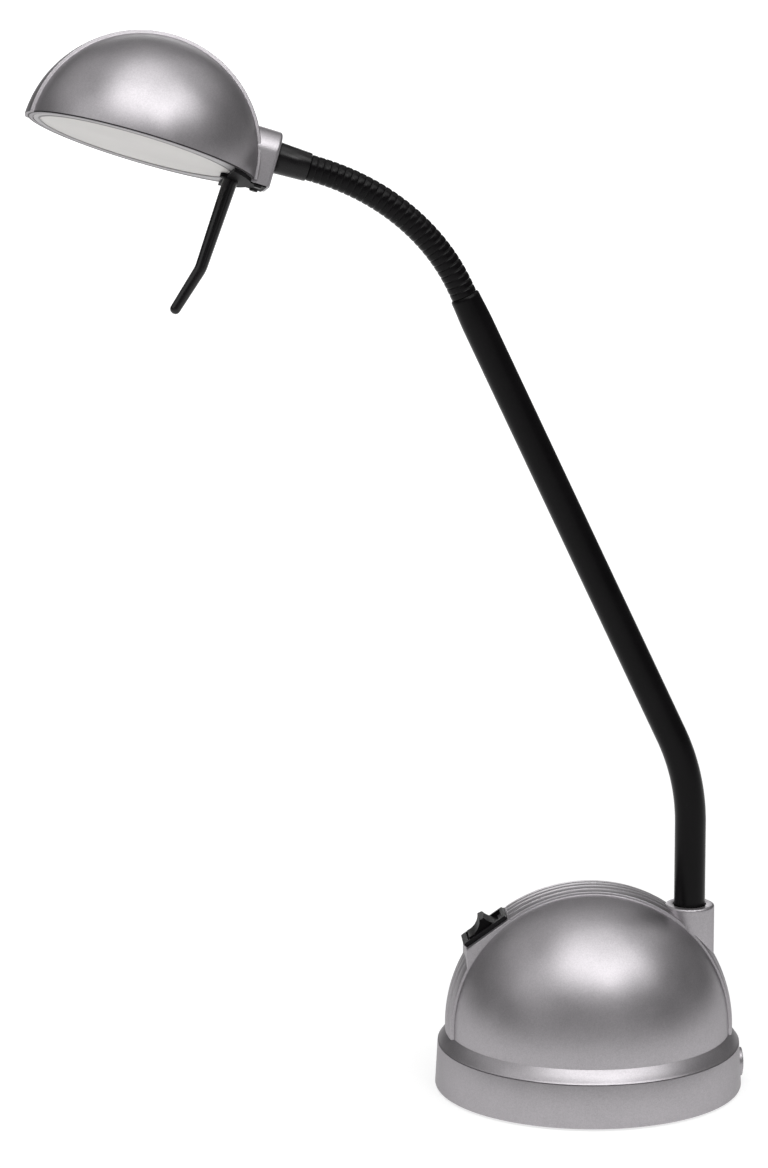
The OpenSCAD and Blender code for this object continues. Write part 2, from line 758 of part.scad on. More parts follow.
module arm_clip() {
    clip_z = collar_foot - bush_flange_t - clip_gap - clip_t;
    slot_w = 3;
    color(steel) translate([arm_x, 0, clip_z]) difference() {
        cylinder(h = clip_t, r = bush_flange_r);
        translate([0, 0, -over]) cylinder(h = clip_t + 2 * over, r = tube_r + 0.02);
        translate([0, -slot_w / 2, -over]) cube([2 * collar_r, slot_w, clip_t + 2 * over]);
    }
}

// ---- flexible neck ----

// Ribs from one joint to the next, with an end gap where another link follows.
module neck_barrel(low_gap, high_gap) {
    translate([0, 0, low_gap]) cylinder(h = link_l - low_gap - high_gap, r = neck_core_r);
    for (i = [0 : ribs_per_link - 1]) translate([0, 0, rib_pitch * (i + 0.5)])
        rotate_extrude() translate([neck_r - rib_round, 0]) circle(rib_round);
    for (i = [0 : ribs_per_link - 1]) translate([0, 0, rib_pitch * (i + 0.5) - rib_round])
        cylinder(h = 2 * rib_round, r = neck_r - rib_round);
}

module neck_ball() {
    translate([0, 0, link_l]) intersection() {
        sphere(ball_r);
        translate([0, 0, -joint_gap - 0.2]) cylinder(h = 2 * ball_r, r = 2 * ball_r);
    }
}

module neck_socket() { sphere(socket_r); }

module wire_way(low, high) {
    translate([0, 0, low]) cylinder(h = high - low, r = wire_r);
}

module neck_link(i) {
    color(black) at_link(i) difference() {
        union() {
            neck_barrel(joint_gap, joint_gap);
            neck_ball();
        }
        neck_socket();
        wire_way(0, link_l + 2 * ball_r);
    }
}

module neck_root() {
    color(black) at_link(0) difference() {
        union() {
            neck_barrel(0, joint_gap);
            neck_ball();
            translate([0, 0, -shank_l]) cylinder(h = shank_l, r = shank_r);
        }
        wire_way(-shank_l - over, link_l + 2 * ball_r);
    }
}

module neck_link_1() { neck_link(1); }
module neck_link_2() { neck_link(2); }
module neck_link_3() { neck_link(3); }
module neck_link_4() { neck_link(4); }
module neck_link_5() { neck_link(5); }
module neck_link_6() { neck_link(6); }
module neck_link_7() { neck_link(7); }
module neck_link_8() { neck_link(8); }

socket_depth = 5;

module neck_end() {
    color(black) at_link(neck_joints) difference() {
        union() {
            neck_barrel(joint_gap, 0);
            translate([0, 0, link_l]) cylinder(h = socket_depth, r = neck_core_r);
        }
        neck_socket();
        wire_way(0, link_l + socket_depth + over);
    }
}

module neck_ferrule() {
    color(black) at_ferrule() difference() {
        union() {
            translate([0, 0, -ferrule_l]) cylinder(h = 0.6, r1 = ferrule_neck_r - 0.4, r2 = ferrule_neck_r);
            translate([0, 0, -ferrule_l + 0.6])
                cylinder(h = ferrule_l - 0.6 - 0.15, r1 = ferrule_neck_r, r2 = ferrule_head_r);
            translate([0, 0, -0.15]) cylinder(h = journal_l + 0.15, r = journal_r);
            cylinder(h = thread_l, r = journal_r - 0.8);
        }
        translate([0, 0, -ferrule_l - over]) cylinder(h = socket_depth + over, r = neck_core_r + 0.05);
        wire_way(-ferrule_l - over, thread_l + over);
    }
}

module neck_washer() {
    color(steel) at_ferrule() translate([0, 0, journal_l + 0.05]) difference() {
        cylinder(h = washer_t - 0.05, r = washer_r);
        translate([0, 0, -over]) cylinder(h = washer_t + 2 * over, r = journal_r - 0.75);
    }
}

module neck_nut() {
    color(steel) at_ferrule() translate([0, 0, journal_l + washer_t + 0.05]) difference() {
        cylinder(h = nut_t, r = washer_r - 2 * seat_gap, $fn = 6);
        translate([0, 0, -over]) cylinder(h = nut_t + 2 * over, r = journal_r - 0.75);
    }
}

// ---- shade ----

module above_rim(r) { translate([-r, -2 * r, -rim_drop]) cube([4 * r, 4 * r, 4 * r]); }

module boss_block(depth, r, edge) {
    rotate([0, 90, 0]) {
        translate([0, 0, edge]) cylinder(h = depth - edge, r = r);
        translate([0, 0, edge]) rotate_extrude() translate([r - edge, 0]) circle(edge);
        cylinder(h = edge, r = r - edge);
    }
    translate([edge, -r, -rim_drop]) cube([depth - edge, 2 * r, rim_drop]);
    translate([0, -r + edge, -rim_drop]) cube([edge, 2 * (r - edge), rim_drop]);
    for (s = [-1, 1]) translate([edge, s * (r - edge), -rim_drop]) cylinder(h = rim_drop, r = edge);
}

module head_shell() {
    color(silver) at_head() difference() {
        union() {
            difference() {
                intersection() {
                    above_rim(head_r);
                    translate([head_reach, 0, -head_drop]) union() {
                        sphere(head_r);
                        intersection() {
                            sphere(head_spine_r);
                            spine_prism(head_spine_r, head_spine_top_w, head_spine_rim_w);
                        }
                    }
                }
                translate([head_reach, 0, -head_drop]) sphere(shade_in);
            }
            difference() {
                boss_block(pad_depth, boss_r, boss_edge);
                // the lens ring and the reflector pass in front of the boss
                translate([head_reach, 0, -head_drop]) intersection() {
                    sphere(shade_in);
                    translate([-2 * head_r, -2 * head_r, -head_r])
                        cube([4 * head_r, 4 * head_r, head_r + head_drop + ring_top + pass_gap]);
                }
            }
        }
        rotate([0, 90, 0]) translate([0, 0, -over]) cylinder(h = pad_depth + 2 * over, r = journal_r + run_gap);
        for (s = [-1, 1]) translate([plate_screw_x, s * plate_screw_y, -rim_drop - over])
            cylinder(h = plate_screw_l + 2 * over, r = plate_screw_r + 0.05);
    }
}

plate_screw_x = 4.6;
plate_screw_y = boss_r - 3.2;
plate_screw_r = 1.1;
plate_screw_l = 6;

module lens_ring() {
    color([0.86, 0.86, 0.87]) at_head() difference() {
        translate([head_reach, 0, -rim_drop]) cylinder(h = ring_t, r = rim_in);
        translate([window_x, 0, -rim_drop - over]) cylinder(h = ring_t + 2 * over, r = window_r);
        translate([window_x, 0, lens_bottom]) cylinder(h = ring_t + over, r = lens_seat_r);
    }
}

module lens() {
    color([0.93, 0.92, 0.9]) at_head() translate([window_x, 0, lens_bottom])
        cylinder(h = lens_t, r = lens_seat_r - seat_gap);
}

module reflector() {
    flange_z = max(ring_top, lens_bottom + lens_t) + 0.05;
    color([0.85, 0.86, 0.88]) at_head() difference() {
        intersection() {
            translate([head_reach, 0, -head_drop]) difference() {
                sphere(reflector_r);
                sphere(reflector_r - reflector_t);
            }
            translate([0, -head_r, flange_z]) cube([2 * head_r + head_reach, 2 * head_r, head_r]);
        }
        // the notch for the journal, the bracket and the lamp holder
        translate([0, -boss_r - pass_gap, -rim_drop])
            cube([head_reach / 2, 2 * (boss_r + pass_gap), rim_drop + head_drop]);
    }
}

// Sheet bracket: a fork round the journal, and a shelf forward under the lamp holder.
module lamp_bracket() {
    shelf_l = holder_x + holder_size[0] + 1.5 - pad_depth;
    roof = pow(shade_in, 2) - pow(head_reach - pad_depth, 2) - pow(tab_w / 2, 2);
    tab_top = sqrt(roof) - head_drop - pass_gap;
    color(steel) at_head() difference() {
        union() {
            translate([pad_depth + seat_gap, -tab_w / 2, shelf_top - shelf_t])
                cube([bracket_t - seat_gap, tab_w, tab_top - shelf_top + shelf_t]);
            translate([pad_depth + seat_gap, -shelf_w / 2, shelf_top - shelf_t])
                cube([shelf_l, shelf_w, shelf_t]);
        }
        rotate([0, 90, 0]) cylinder(h = 2 * pad_depth, r = journal_r + run_gap);
        for (x = holder_screws_x) translate([x, 0, shelf_top - 2 * shelf_t])
            cylinder(h = 3 * shelf_t, r = 1.05);
    }
}

holder_screws_x = [holder_x + 3.5, holder_x + holder_size[0] - 3.5];

module lamp_holder() {
    color([0.92, 0.9, 0.85]) at_head() difference() {
        translate([holder_x, -holder_size[1] / 2, shelf_top + 0.02])
            cube([holder_size[0], holder_size[1], holder_size[2]]);
        for (s = [-1, 1]) translate([holder_x + 4, s * 2, bulb_z]) rotate([0, 90, 0])
            cylinder(h = holder_size[0], r = 0.6);
        for (x = holder_screws_x) translate([x, 0, shelf_top - 1]) cylinder(h = holder_size[2] + 2, r = 1.05);
    }
}

module holder_screws() {
    top = shelf_top + holder_size[2] + 0.02;
    color(steel) at_head() for (x = holder_screws_x) {
        translate([x, 0, top]) cylinder(h = 1.4, r1 = 2, r2 = 1.6);
        translate([x, 0, shelf_top - shelf_t]) cylinder(h = top - shelf_top + shelf_t, r = 1);
    }
}

bulb_x = holder_x + holder_size[0] + 2;

module bulb_capsule() {
    color([0.95, 0.95, 0.93]) at_head() translate([bulb_x, 0, bulb_z]) rotate([0, 90, 0]) {
        cylinder(h = bulb_l - bulb_r, r = bulb_r);
        translate([0, 0, bulb_l - bulb_r]) sphere(bulb_r);
    }
}

module bulb_pins() {
    color(steel) at_head() for (s = [-1, 1]) translate([bulb_x - 7, s * 2, bulb_z]) rotate([0, 90, 0])
        cylinder(h = 7, r = 0.5);
}

// ---- rear plate and handle ----

module rear_plate() {
    color(black) at_head() difference() {
        translate([0, 0, plate_top - plate_t]) linear_extrude(plate_t) union() {
            intersection() {
                translate([head_reach, 0]) circle(head_r - 1);
                translate([0, -head_r]) square([plate_reach, 2 * head_r]);
            }
            translate([1.2, -boss_r + 1]) square([plate_reach / 2, 2 * boss_r - 2]);
            translate([handle_x, 0]) circle(handle_root_r + 1.6);
        }
        for (s = [-1, 1]) translate([plate_screw_x, s * plate_screw_y, plate_top - 2 * plate_t])
            cylinder(h = 4 * plate_t, r = plate_screw_r + 0.05);
        translate([handle_x, 0, plate_top - 2 * plate_t]) cylinder(h = 4 * plate_t, r = handle_pin_r + 0.05);
    }
}

module plate_screws() {
    color(steel) at_head() for (s = [-1, 1])
        translate([plate_screw_x, s * plate_screw_y, plate_top - plate_t]) {
        translate([0, 0, -0.9]) cylinder(h = 0.9, r1 = 1.6, r2 = 2);
        cylinder(h = plate_t + plate_screw_l, r = plate_screw_r);
    }
}

module aim_handle() {
    root = plate_top - plate_t;
    color(black) at_head() translate([handle_x, 0, root]) {
        cylinder(h = plate_t, r = handle_pin_r);
        translate([0, 0, -1.2]) cylinder(h = 1.2, r1 = handle_root_r + 0.3, r2 = handle_root_r + 1);
        rotate([0, -handle_lean, 0]) translate([0, 0, -handle_upper_l]) {
            cylinder(h = handle_upper_l - 0.5, r1 = handle_bend_r, r2 = handle_root_r);
            sphere(handle_bend_r);
            rotate([0, -handle_bend_angle, 0]) translate([0, 0, -handle_lower_l]) {
                cylinder(h = handle_lower_l, r1 = handle_tip_r, r2 = handle_bend_r);
                sphere(handle_tip_r);
            }
        }
    }
}

// ---- what is drawn ----
base_dome();
base_ring();
bottom_plate();
foot_ring();
base_screws();
transformer_core();
transformer_bobbin();
primary_winding();
secondary_winding();
transformer_strap();
strap_screws();
terminal_block();
terminal_screws();
cord_grommet();
cord_clamp();
clamp_screws();
switch_housing();
switch_rocker();
switch_terminals();
arm_bush();
arm_tube();
arm_clip();
neck_root();
neck_link_1();
neck_link_2();
neck_link_3();
neck_link_4();
neck_link_5();
neck_link_6();
neck_link_7();
neck_link_8();
neck_end();
neck_ferrule();
neck_washer();
neck_nut();
head_shell();
lens_ring();
lens();
reflector();
lamp_bracket();
lamp_holder();
holder_screws();
bulb_capsule();
bulb_pins();
rear_plate();
plate_screws();
aim_handle();
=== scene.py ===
import json
import math

import bmesh
import bpy
from mathutils import Matrix, Vector
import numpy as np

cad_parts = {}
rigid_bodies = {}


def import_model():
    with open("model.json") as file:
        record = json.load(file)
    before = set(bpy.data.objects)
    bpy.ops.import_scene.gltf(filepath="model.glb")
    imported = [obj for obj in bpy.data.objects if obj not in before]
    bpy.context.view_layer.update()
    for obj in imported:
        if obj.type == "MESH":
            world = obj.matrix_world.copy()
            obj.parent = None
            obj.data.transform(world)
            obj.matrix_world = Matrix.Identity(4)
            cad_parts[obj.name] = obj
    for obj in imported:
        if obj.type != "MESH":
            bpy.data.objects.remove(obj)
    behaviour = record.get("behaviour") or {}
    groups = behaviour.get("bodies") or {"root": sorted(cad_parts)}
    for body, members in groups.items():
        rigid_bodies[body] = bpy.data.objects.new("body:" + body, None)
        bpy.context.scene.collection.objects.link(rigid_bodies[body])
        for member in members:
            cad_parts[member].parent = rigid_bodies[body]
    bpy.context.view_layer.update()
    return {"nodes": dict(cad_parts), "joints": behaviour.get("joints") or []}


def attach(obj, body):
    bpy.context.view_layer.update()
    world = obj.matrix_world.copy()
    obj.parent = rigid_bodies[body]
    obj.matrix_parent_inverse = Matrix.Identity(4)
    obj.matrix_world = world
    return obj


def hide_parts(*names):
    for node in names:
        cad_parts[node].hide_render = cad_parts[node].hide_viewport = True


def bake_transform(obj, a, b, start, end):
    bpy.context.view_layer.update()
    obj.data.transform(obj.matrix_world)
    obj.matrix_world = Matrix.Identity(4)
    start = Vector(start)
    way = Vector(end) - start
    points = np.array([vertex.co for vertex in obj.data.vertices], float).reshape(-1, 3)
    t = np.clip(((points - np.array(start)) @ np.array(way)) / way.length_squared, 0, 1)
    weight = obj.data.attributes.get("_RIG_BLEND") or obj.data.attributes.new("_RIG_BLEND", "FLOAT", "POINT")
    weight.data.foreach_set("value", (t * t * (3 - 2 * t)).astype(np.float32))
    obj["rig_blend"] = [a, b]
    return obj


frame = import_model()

mm = 0.001
joints = {j["name"]: j for j in frame["joints"]}
scene = bpy.context.scene
scene.view_settings.view_transform = "Standard"
print("frame loaded:", len(frame["nodes"]), "nodes")

# Camera.

view = {
    "place": (-0.2331, -2.3902, 0.7766),   # in metres
    "down": 13.1,                          # degrees below level
    "turn": 3.5,                           # degrees to the right of +Y
    "lens": 182.07,                        # on a 36 mm side of 1168 pixels
}

cameraData = bpy.data.cameras.new("camera")
cameraData.lens = view["lens"]
cameraData.sensor_width = 36
cameraData.clip_end = 50
camera = bpy.data.objects.new("camera", cameraData)
scene.collection.objects.link(camera)
camera.location = view["place"]
camera.rotation_euler = (math.radians(90 - view["down"]), 0, -math.radians(view["turn"]))
scene.camera = camera

# Where the parts of the lamp stand.

base = {
    "domeLift": 27.0, "domeRadius": 59.7, "spineRise": 1.2, "spineTop": 18.0, "spineFoot": 27.0,
    "wallRadius": 65.0, "wallTopRadius": 64.0, "wallTop": 19.6, "wallFoot": 0.8, "shoulderTop": 25.0,
    "wallInside": 61.6, "shellThick": 2.4,
}
switch = {"slope": 35.5, "sink": 0.9, "slide": 11.0, "long": 21.0, "front": 0.4, "rear": 1.0,
          "bezelRise": 2.2, "overhang": 1.2, "leanFrom": 0.3, "leanLong": 1.2}
shade = {
    "roll": -sum(joints["head_swivel"]["range_deg"]) / 2,   # the swivel goes as far each way from upright
    "reach": 54.0, "drop": 14.0, "rim": 12.6, "radius": 48.1, "spineRise": 1.4,
    "spineTop": 15.0, "spineRim": 23.0, "thick": 2.0, "bossRadius": 10.4, "bossEdge": 1.5, "bossLip": 1.2,
    "bossDeep": 12.0, "bossSteps": 6,
}
tube = {
    "x": 42.5, "foot": 46.0, "vertex": 134.3, "lean": 25.0, "bend": 92.0, "upper": 227.9,
    "radius": 6.55, "mouth": 14.0, "draw": 0.4,
}
neck = {
    "pitch": 2.89, "ribs": 3, "crest": 5.5, "crown": 0.06, "groove": 0.22, "grooveHalf": 0.17,
    "inMouth": 4.0, "inFerrule": 1.0, "samples": 72, "sides": 56,
}

bossFace = Vector(joints["head_swivel"]["pos_m"])
headAxis = Vector(joints["head_swivel"]["axis"])
headLean = math.atan2(-headAxis.x, headAxis.z)
headPlace = (
    Matrix.Translation(bossFace) @ Matrix.Rotation(math.pi / 2 - headLean, 4, "Y")
    @ Matrix.Rotation(math.pi, 4, "Z") @ Matrix.Rotation(math.radians(shade["roll"]), 4, "X")
)
domePlace = Matrix.Translation((0, 0, base["domeLift"] * mm))


# Turns +Z to a lean from upright towards -X.
def leaning(place, lean):
    return Matrix.Translation(place) @ Matrix.Rotation(-lean, 4, "Y")


# Meshes.

# Makes an object from points in millimetres, in place, with faces outwards.
def meshPiece(name, points, faces, place=Matrix.Identity(4), sharp=35.0):
    mesh = bpy.data.meshes.new(name)
    mesh.from_pydata([tuple(c * mm for c in p) for p in points], [], faces)
    work = bmesh.new()
    work.from_mesh(mesh)
    bmesh.ops.remove_doubles(work, verts=work.verts, dist=1e-7)
    if work.calc_volume(signed=True) < 0:
        bmesh.ops.reverse_faces(work, faces=work.faces)
    work.to_mesh(mesh)
    work.free()
    return placed(name, mesh, place, sharp)


# Puts a mesh in place and links it, smooth but for its sharp edges.
def placed(name, mesh, place=Matrix.Identity(4), sharp=35.0):
    mesh.transform(place)
    mesh.shade_smooth()
    mesh.set_sharp_from_angle(angle=math.radians(sharp))
    piece = bpy.data.objects.new(name, mesh)
    scene.collection.objects.link(piece)
    return piece


# Turns a closed outline of (radius, height) round the Z axis.
def turnedPiece(name, outline, place=Matrix.Identity(4), steps=192, sharp=35.0):
    points = []
    for k in range(steps):
        angle = 2 * math.pi * k / steps
        points += [(r * math.cos(angle), r * math.sin(angle), z) for r, z in outline]
    count = len(outline)
    faces = []
    for k in range(steps):
        near, far = k * count, (k + 1) % steps * count
        for i in range(count):
            j = (i + 1) % count
            faces.append((near + i, far + i, far + j, near + j))
    return meshPiece(name, points, faces, place, sharp)


# Rounds one corner of an outline with an arc, from one direction to the other.
def roundCorner(x, y, radius, start, end, steps=6):
    arc = []
    for k in range(steps + 1):
        angle = math.radians(start + (end - start) * k / steps)
        arc.append((x + radius * math.cos(angle), y + radius * math.sin(angle)))
    return arc


# A copy of a CAD node's mesh with its sharp edges broken.
def easedCopy(name, node, width, segments=3, limit=35.0, flat=0.2):
    mesh = frame["nodes"][node].data.copy()
    mesh.name = name
    work = bmesh.new()
    work.from_mesh(mesh)
    bmesh.ops.remove_doubles(work, verts=work.verts, dist=2e-6)
    bmesh.ops.dissolve_limit(work, angle_limit=math.radians(flat), verts=work.verts, edges=work.edges)
    work.to_mesh(mesh)
    work.free()
    mesh.materials.clear()
    for layer in list(mesh.attributes):
        if layer.name == "custom_normal":
            mesh.attributes.remove(layer)
    piece = placed(name, mesh)
    bevel = piece.modifiers.new("easedEdges", "BEVEL")
    bevel.width = width * mm
    bevel.segments = segments
    bevel.limit_method = "ANGLE"
    bevel.angle_limit = math.radians(limit)
    bevel.use_clamp_overlap = True
    bevel.harden_normals = False
    return piece


# Geometry node helpers.

class NodeTable:
    # A short way to add nodes to a tree and join them.
    def __init__(self, tree):
        self.tree = tree

    def add(self, kind, settings=None, **inputs):
        node = self.tree.nodes.new(kind)
        for key, value in (settings or {}).items():
            setattr(node, key, value)
        for key, value in inputs.items():
            socket = node.inputs[int(key[1:])] if key[1:].isdigit() else node.inputs[key.replace("_", " ")]
            if isinstance(value, bpy.types.NodeSocket):
                self.tree.links.new(value, socket)
            else:
                socket.default_value = value
        return node

    def math(self, operation, a, b=None, clamp=False):
        inputs = {"i0": a}
        if b is not None:
            inputs["i1"] = b
        return self.add("ShaderNodeMath", {"operation": operation, "use_clamp": clamp}, **inputs).outputs[0]

    def ramp(self, value, start, end, low=0.0, high=1.0, smooth=False):
        kind = "SMOOTHSTEP" if smooth else "LINEAR"
        return self.add("ShaderNodeMapRange", {"interpolation_type": kind},
                        i0=value, i1=start, i2=end, i3=low, i4=high).outputs[0]


# Starts a geometry tree with named number inputs and a material input.
def startTree(name, numbers):
    tree = bpy.data.node_groups.new(name, "GeometryNodeTree")
    sockets = {}
    for label, value in numbers.items():
        kind = "NodeSocketInt" if isinstance(value, int) else "NodeSocketFloat"
        kind = "NodeSocketVector" if isinstance(value, tuple) else kind
        socket = tree.interface.new_socket(name=label, in_out="INPUT", socket_type=kind)
        socket.default_value = value
        sockets[label] = socket.identifier
    sockets["Material"] = tree.interface.new_socket(
        name="Material", in_out="INPUT", socket_type="NodeSocketMaterial").identifier
    tree.interface.new_socket(name="Geometry", in_out="OUTPUT", socket_type="NodeSocketGeometry")
    table = NodeTable(tree)
    entry = tree.nodes.new("NodeGroupInput")
    return tree, table, entry, sockets


# Ends a tree: real copies, a material, smooth faces.
def endTree(table, entry, geometry):
    real = table.add("GeometryNodeRealizeInstances", Geometry=geometry).outputs[0]
    smooth = table.add("GeometryNodeSetShadeSmooth", Geometry=real).outputs[0]
    finish = table.add("GeometryNodeSetMaterial", Geometry=smooth, Material=entry.outputs["Material"])
    exitNode = table.tree.nodes.new("NodeGroupOutput")
    table.tree.links.new(finish.outputs[0], exitNode.inputs[0])


# Runs a tree with its inputs set, and keeps the result as a plain mesh in place.
def grow(name, tree, sockets, values, material, place=Matrix.Identity(4), sharp=35.0):
    seed = bpy.data.objects.new(name + "Seed", bpy.data.meshes.new(name + "Seed"))
    scene.collection.objects.link(seed)
    modifier = seed.modifiers.new("shape", "NODES")
    modifier.node_group = tree
    for label, value in values.items():
        modifier[sockets[label]] = value
    modifier[sockets["Material"]] = material
    depsgraph = bpy.context.evaluated_depsgraph_get()
    mesh = bpy.data.meshes.new_from_object(seed.evaluated_get(depsgraph))
    mesh.name = name
    seed.modifiers.clear()
    bpy.data.objects.remove(seed)
    return placed(name, mesh, place, sharp)


# Finishes.

# Starts a material and gives its table of nodes and its shader.
def startFinish(name):
    material = bpy.data.materials.new(name)
    material.use_nodes = True
    table = NodeTable(material.node_tree)
    shader = material.node_tree.nodes["Principled BSDF"]
    spot = table.add("ShaderNodeTexCoord").outputs["Object"]
    return material, table, shader, spot


def noiseAt(table, spot, scale, detail=3.0, rough=0.55):
    noise = table.add("ShaderNodeTexNoise", Vector=spot, Scale=scale, Detail=detail, Roughness=rough)
    return noise.outputs[0]


def blendBetween(table, factor, low, high, start=0.3, end=0.7):
    ramp = table.add("ShaderNodeValToRGB", Fac=factor)
    ramp.color_ramp.elements[0].position = start
    ramp.color_ramp.elements[0].color = (*low, 1)
    ramp.color_ramp.elements[1].position = end
    ramp.color_ramp.elements[1].color = (*high, 1)
    return ramp.outputs[0]


def spread(table, factor, low, high):
    return table.add("ShaderNodeMapRange", i0=factor, i3=low, i4=high).outputs[0]


def bumpOf(table, shader, height, distance, strength=0.5):
    bump = table.add("ShaderNodeBump", Height=height, Distance=distance, Strength=strength)
    table.tree.links.new(bump.outputs[0], shader.inputs["Normal"])


def link(table, output, shader, name):
    table.tree.links.new(output, shader.inputs[name])


# Satin paint with fine metal flakes in it.
def flakePaint(name, dark, light, metal, rough, flake=2600.0, edge=0.6):
    material, table, shader, spot = startFinish(name)
    cells = table.add("ShaderNodeTexVoronoi", {"feature": "F1"}, Vector=spot, Scale=flake)
    cloud = noiseAt(table, spot, 90.0, 4.0)
    flakes = table.math("MULTIPLY", cells.outputs["Color"], 0.55)
    grain = table.math("ADD", flakes, table.math("MULTIPLY", cloud, 0.45))
    link(table, blendBetween(table, grain, dark, light, 0.15, 0.85), shader, "Base Color")
    link(table, spread(table, cloud, rough - 0.03, rough + 0.04), shader, "Roughness")
    shader.inputs["Metallic"].default_value = metal
    shader.inputs["Specular Tint"].default_value = (edge, edge, edge, 1)
    bumpOf(table, shader, grain, 0.00002, 0.25)
    return material


# Moulded or painted black with a fine skin, deeper where relief is added.
def blackSkin(name, colour, rough, grain, depth, spec=0.5, relief=0.0):
    material, table, shader, spot = startFinish(name)
    cloud = noiseAt(table, spot, 60.0, 4.0)
    skin = noiseAt(table, spot, grain, 2.0)
    low = tuple(c * 0.8 for c in colour)
    high = tuple(c * 1.35 for c in colour)
    link(table, blendBetween(table, cloud, low, high), shader, "Base Color")
    link(table, spread(table, cloud, rough - 0.05, rough + 0.07), shader, "Roughness")
    shader.inputs["Specular IOR Level"].default_value = spec
    bumpOf(table, shader, skin, depth, 0.35 + relief)
    return material


# Plain moulded plastic, rubber or ceramic in a light or dark colour.
def plainSkin(name, colour, rough, grain=900.0, depth=0.00003, metal=0.0, vary=0.08):
    material, table, shader, spot = startFinish(name)
    cloud = noiseAt(table, spot, 70.0, 3.0)
    skin = noiseAt(table, spot, grain, 2.0)
    low = tuple(c * (1 - vary) for c in colour)
    high = tuple(min(1.0, c * (1 + vary)) for c in colour)
    link(table, blendBetween(table, cloud, low, high), shader, "Base Color")
    link(table, spread(table, skin, rough - 0.05, rough + 0.05), shader, "Roughness")
    shader.inputs["Metallic"].default_value = metal
    bumpOf(table, shader, skin, depth, 0.4)
    return material


# Sheet steel with the fine lines of rolling, and zinc bloom.
def platedSteel(name, colour=(0.62, 0.63, 0.65)):
    material, table, shader, spot = startFinish(name)
    stretch = table.add("ShaderNodeMapping", Vector=spot, Scale=(30.0, 900.0, 900.0))
    lines = noiseAt(table, stretch.outputs[0], 1.0, 4.0)
    bloom = noiseAt(table, spot, 160.0, 3.0)
    both = table.math("ADD", table.math("MULTIPLY", lines, 0.5), table.math("MULTIPLY", bloom, 0.5))
    low = tuple(c * 0.78 for c in colour)
    link(table, blendBetween(table, both, low, colour), shader, "Base Color")
    link(table, spread(table, both, 0.25, 0.5), shader, "Roughness")
    shader.inputs["Metallic"].default_value = 1.0
    bumpOf(table, shader, lines, 0.00001, 0.3)
    return material


# Rows of thin layers, for laminations along one axis or wound wire.
def layered(name, low, high, spacing, axis, metal, rough):
    material, table, shader, spot = startFinish(name)
    apart = table.add("ShaderNodeSeparateXYZ", Vector=spot)
    along = apart.outputs["XYZ".index(axis)]
    wave = table.math("SINE", table.math("MULTIPLY", along, 2 * math.pi / spacing))
    level = table.math("ADD", table.math("MULTIPLY", wave, 0.5), 0.5)
    link(table, blendBetween(table, level, low, high, 0.1, 0.6), shader, "Base Color")
    shader.inputs["Metallic"].default_value = metal
    shader.inputs["Roughness"].default_value = rough
    bumpOf(table, shader, level, spacing * 0.3, 0.6)
    return material


# Sandblasted glass over a lamp: milky, with a fine grain.
def frostedGlass(name):
    material, table, shader, spot = startFinish(name)
    grain = noiseAt(table, spot, 2400.0, 2.0)
    cloud = noiseAt(table, spot, 25.0, 2.0)
    link(table, blendBetween(table, cloud, (0.74, 0.72, 0.70), (0.8, 0.78, 0.76)), shader, "Base Color")
    link(table, spread(table, grain, 0.38, 0.5), shader, "Roughness")
    shader.inputs["Subsurface Weight"].default_value = 0.12
    shader.inputs["Subsurface Radius"].default_value = (0.004, 0.004, 0.004)
    bumpOf(table, shader, grain, 0.00002, 0.3)
    return material


def clearGlass(name):
    material, table, shader, spot = startFinish(name)
    ripple = noiseAt(table, spot, 120.0, 2.0)
    shader.inputs["Base Color"].default_value = (0.95, 0.95, 0.93, 1)
    link(table, spread(table, ripple, 0.02, 0.06), shader, "Roughness")
    shader.inputs["Transmission Weight"].default_value = 0.9
    bumpOf(table, shader, ripple, 0.00002, 0.2)
    return material


silverPaint = flakePaint("silverPaint", (0.365, 0.349, 0.365), (0.475, 0.455, 0.475),
                         metal=0.9, rough=0.39)
silverRim = flakePaint("silverRim", (0.46, 0.445, 0.455), (0.56, 0.545, 0.555),
                       metal=0.5, rough=0.4)
# Grey of the lens bead, darker than the trim: painted shade of the step where the lens meets its ring.
beadShadeGrey = flakePaint("beadShadeGrey", (0.38, 0.37, 0.378), (0.44, 0.43, 0.438), metal=0.3, rough=0.45)
tubeBlack = blackSkin("tubeBlack", (0.003, 0.0026, 0.003),
                      rough=0.3, grain=700.0, depth=0.00003, spec=0.12, relief=0.1)
neckBlack = blackSkin("neckBlack", (0.003, 0.0025, 0.003),
                      rough=0.27, grain=1500.0, depth=0.00002, spec=0.13)
handleBlack = blackSkin("handleBlack", (0.004, 0.0034, 0.004),
                        rough=0.2, grain=1200.0, depth=0.00001, spec=0.42)
plateBlack = blackSkin("plateBlack", (0.004, 0.0034, 0.004),
                       rough=0.55, grain=1600.0, depth=0.00003, spec=0.05)
# Dark grey of the rim band: painted shadow of the gap along the shell's lower edge.
rimShadowBlack = blackSkin("rimShadowBlack", (0.03, 0.027, 0.03),
                     rough=0.5, grain=1400.0, depth=0.00002, spec=0.2)
glossBlack = blackSkin("glossBlack", (0.004, 0.0034, 0.004),
                       rough=0.26, grain=1200.0, depth=0.00001, spec=0.28)
satinBlack = blackSkin("satinBlack", (0.006, 0.0052, 0.006),
                       rough=0.36, grain=1600.0, depth=0.00003, spec=0.16)
keyBlack = blackSkin("keyBlack", (0.004, 0.0035, 0.004),
                     rough=0.44, grain=1400.0, depth=0.00002, spec=0.05)
steel = platedSteel("platedSteel")
rubber = plainSkin("footRubber", (0.02, 0.02, 0.02), rough=0.75, grain=1200.0, depth=0.00006)
nylon = plainSkin("paleNylon", (0.72, 0.69, 0.6), rough=0.5)
ceramic = plainSkin("lampCeramic", (0.8, 0.78, 0.72), rough=0.45, grain=600.0, depth=0.00002)
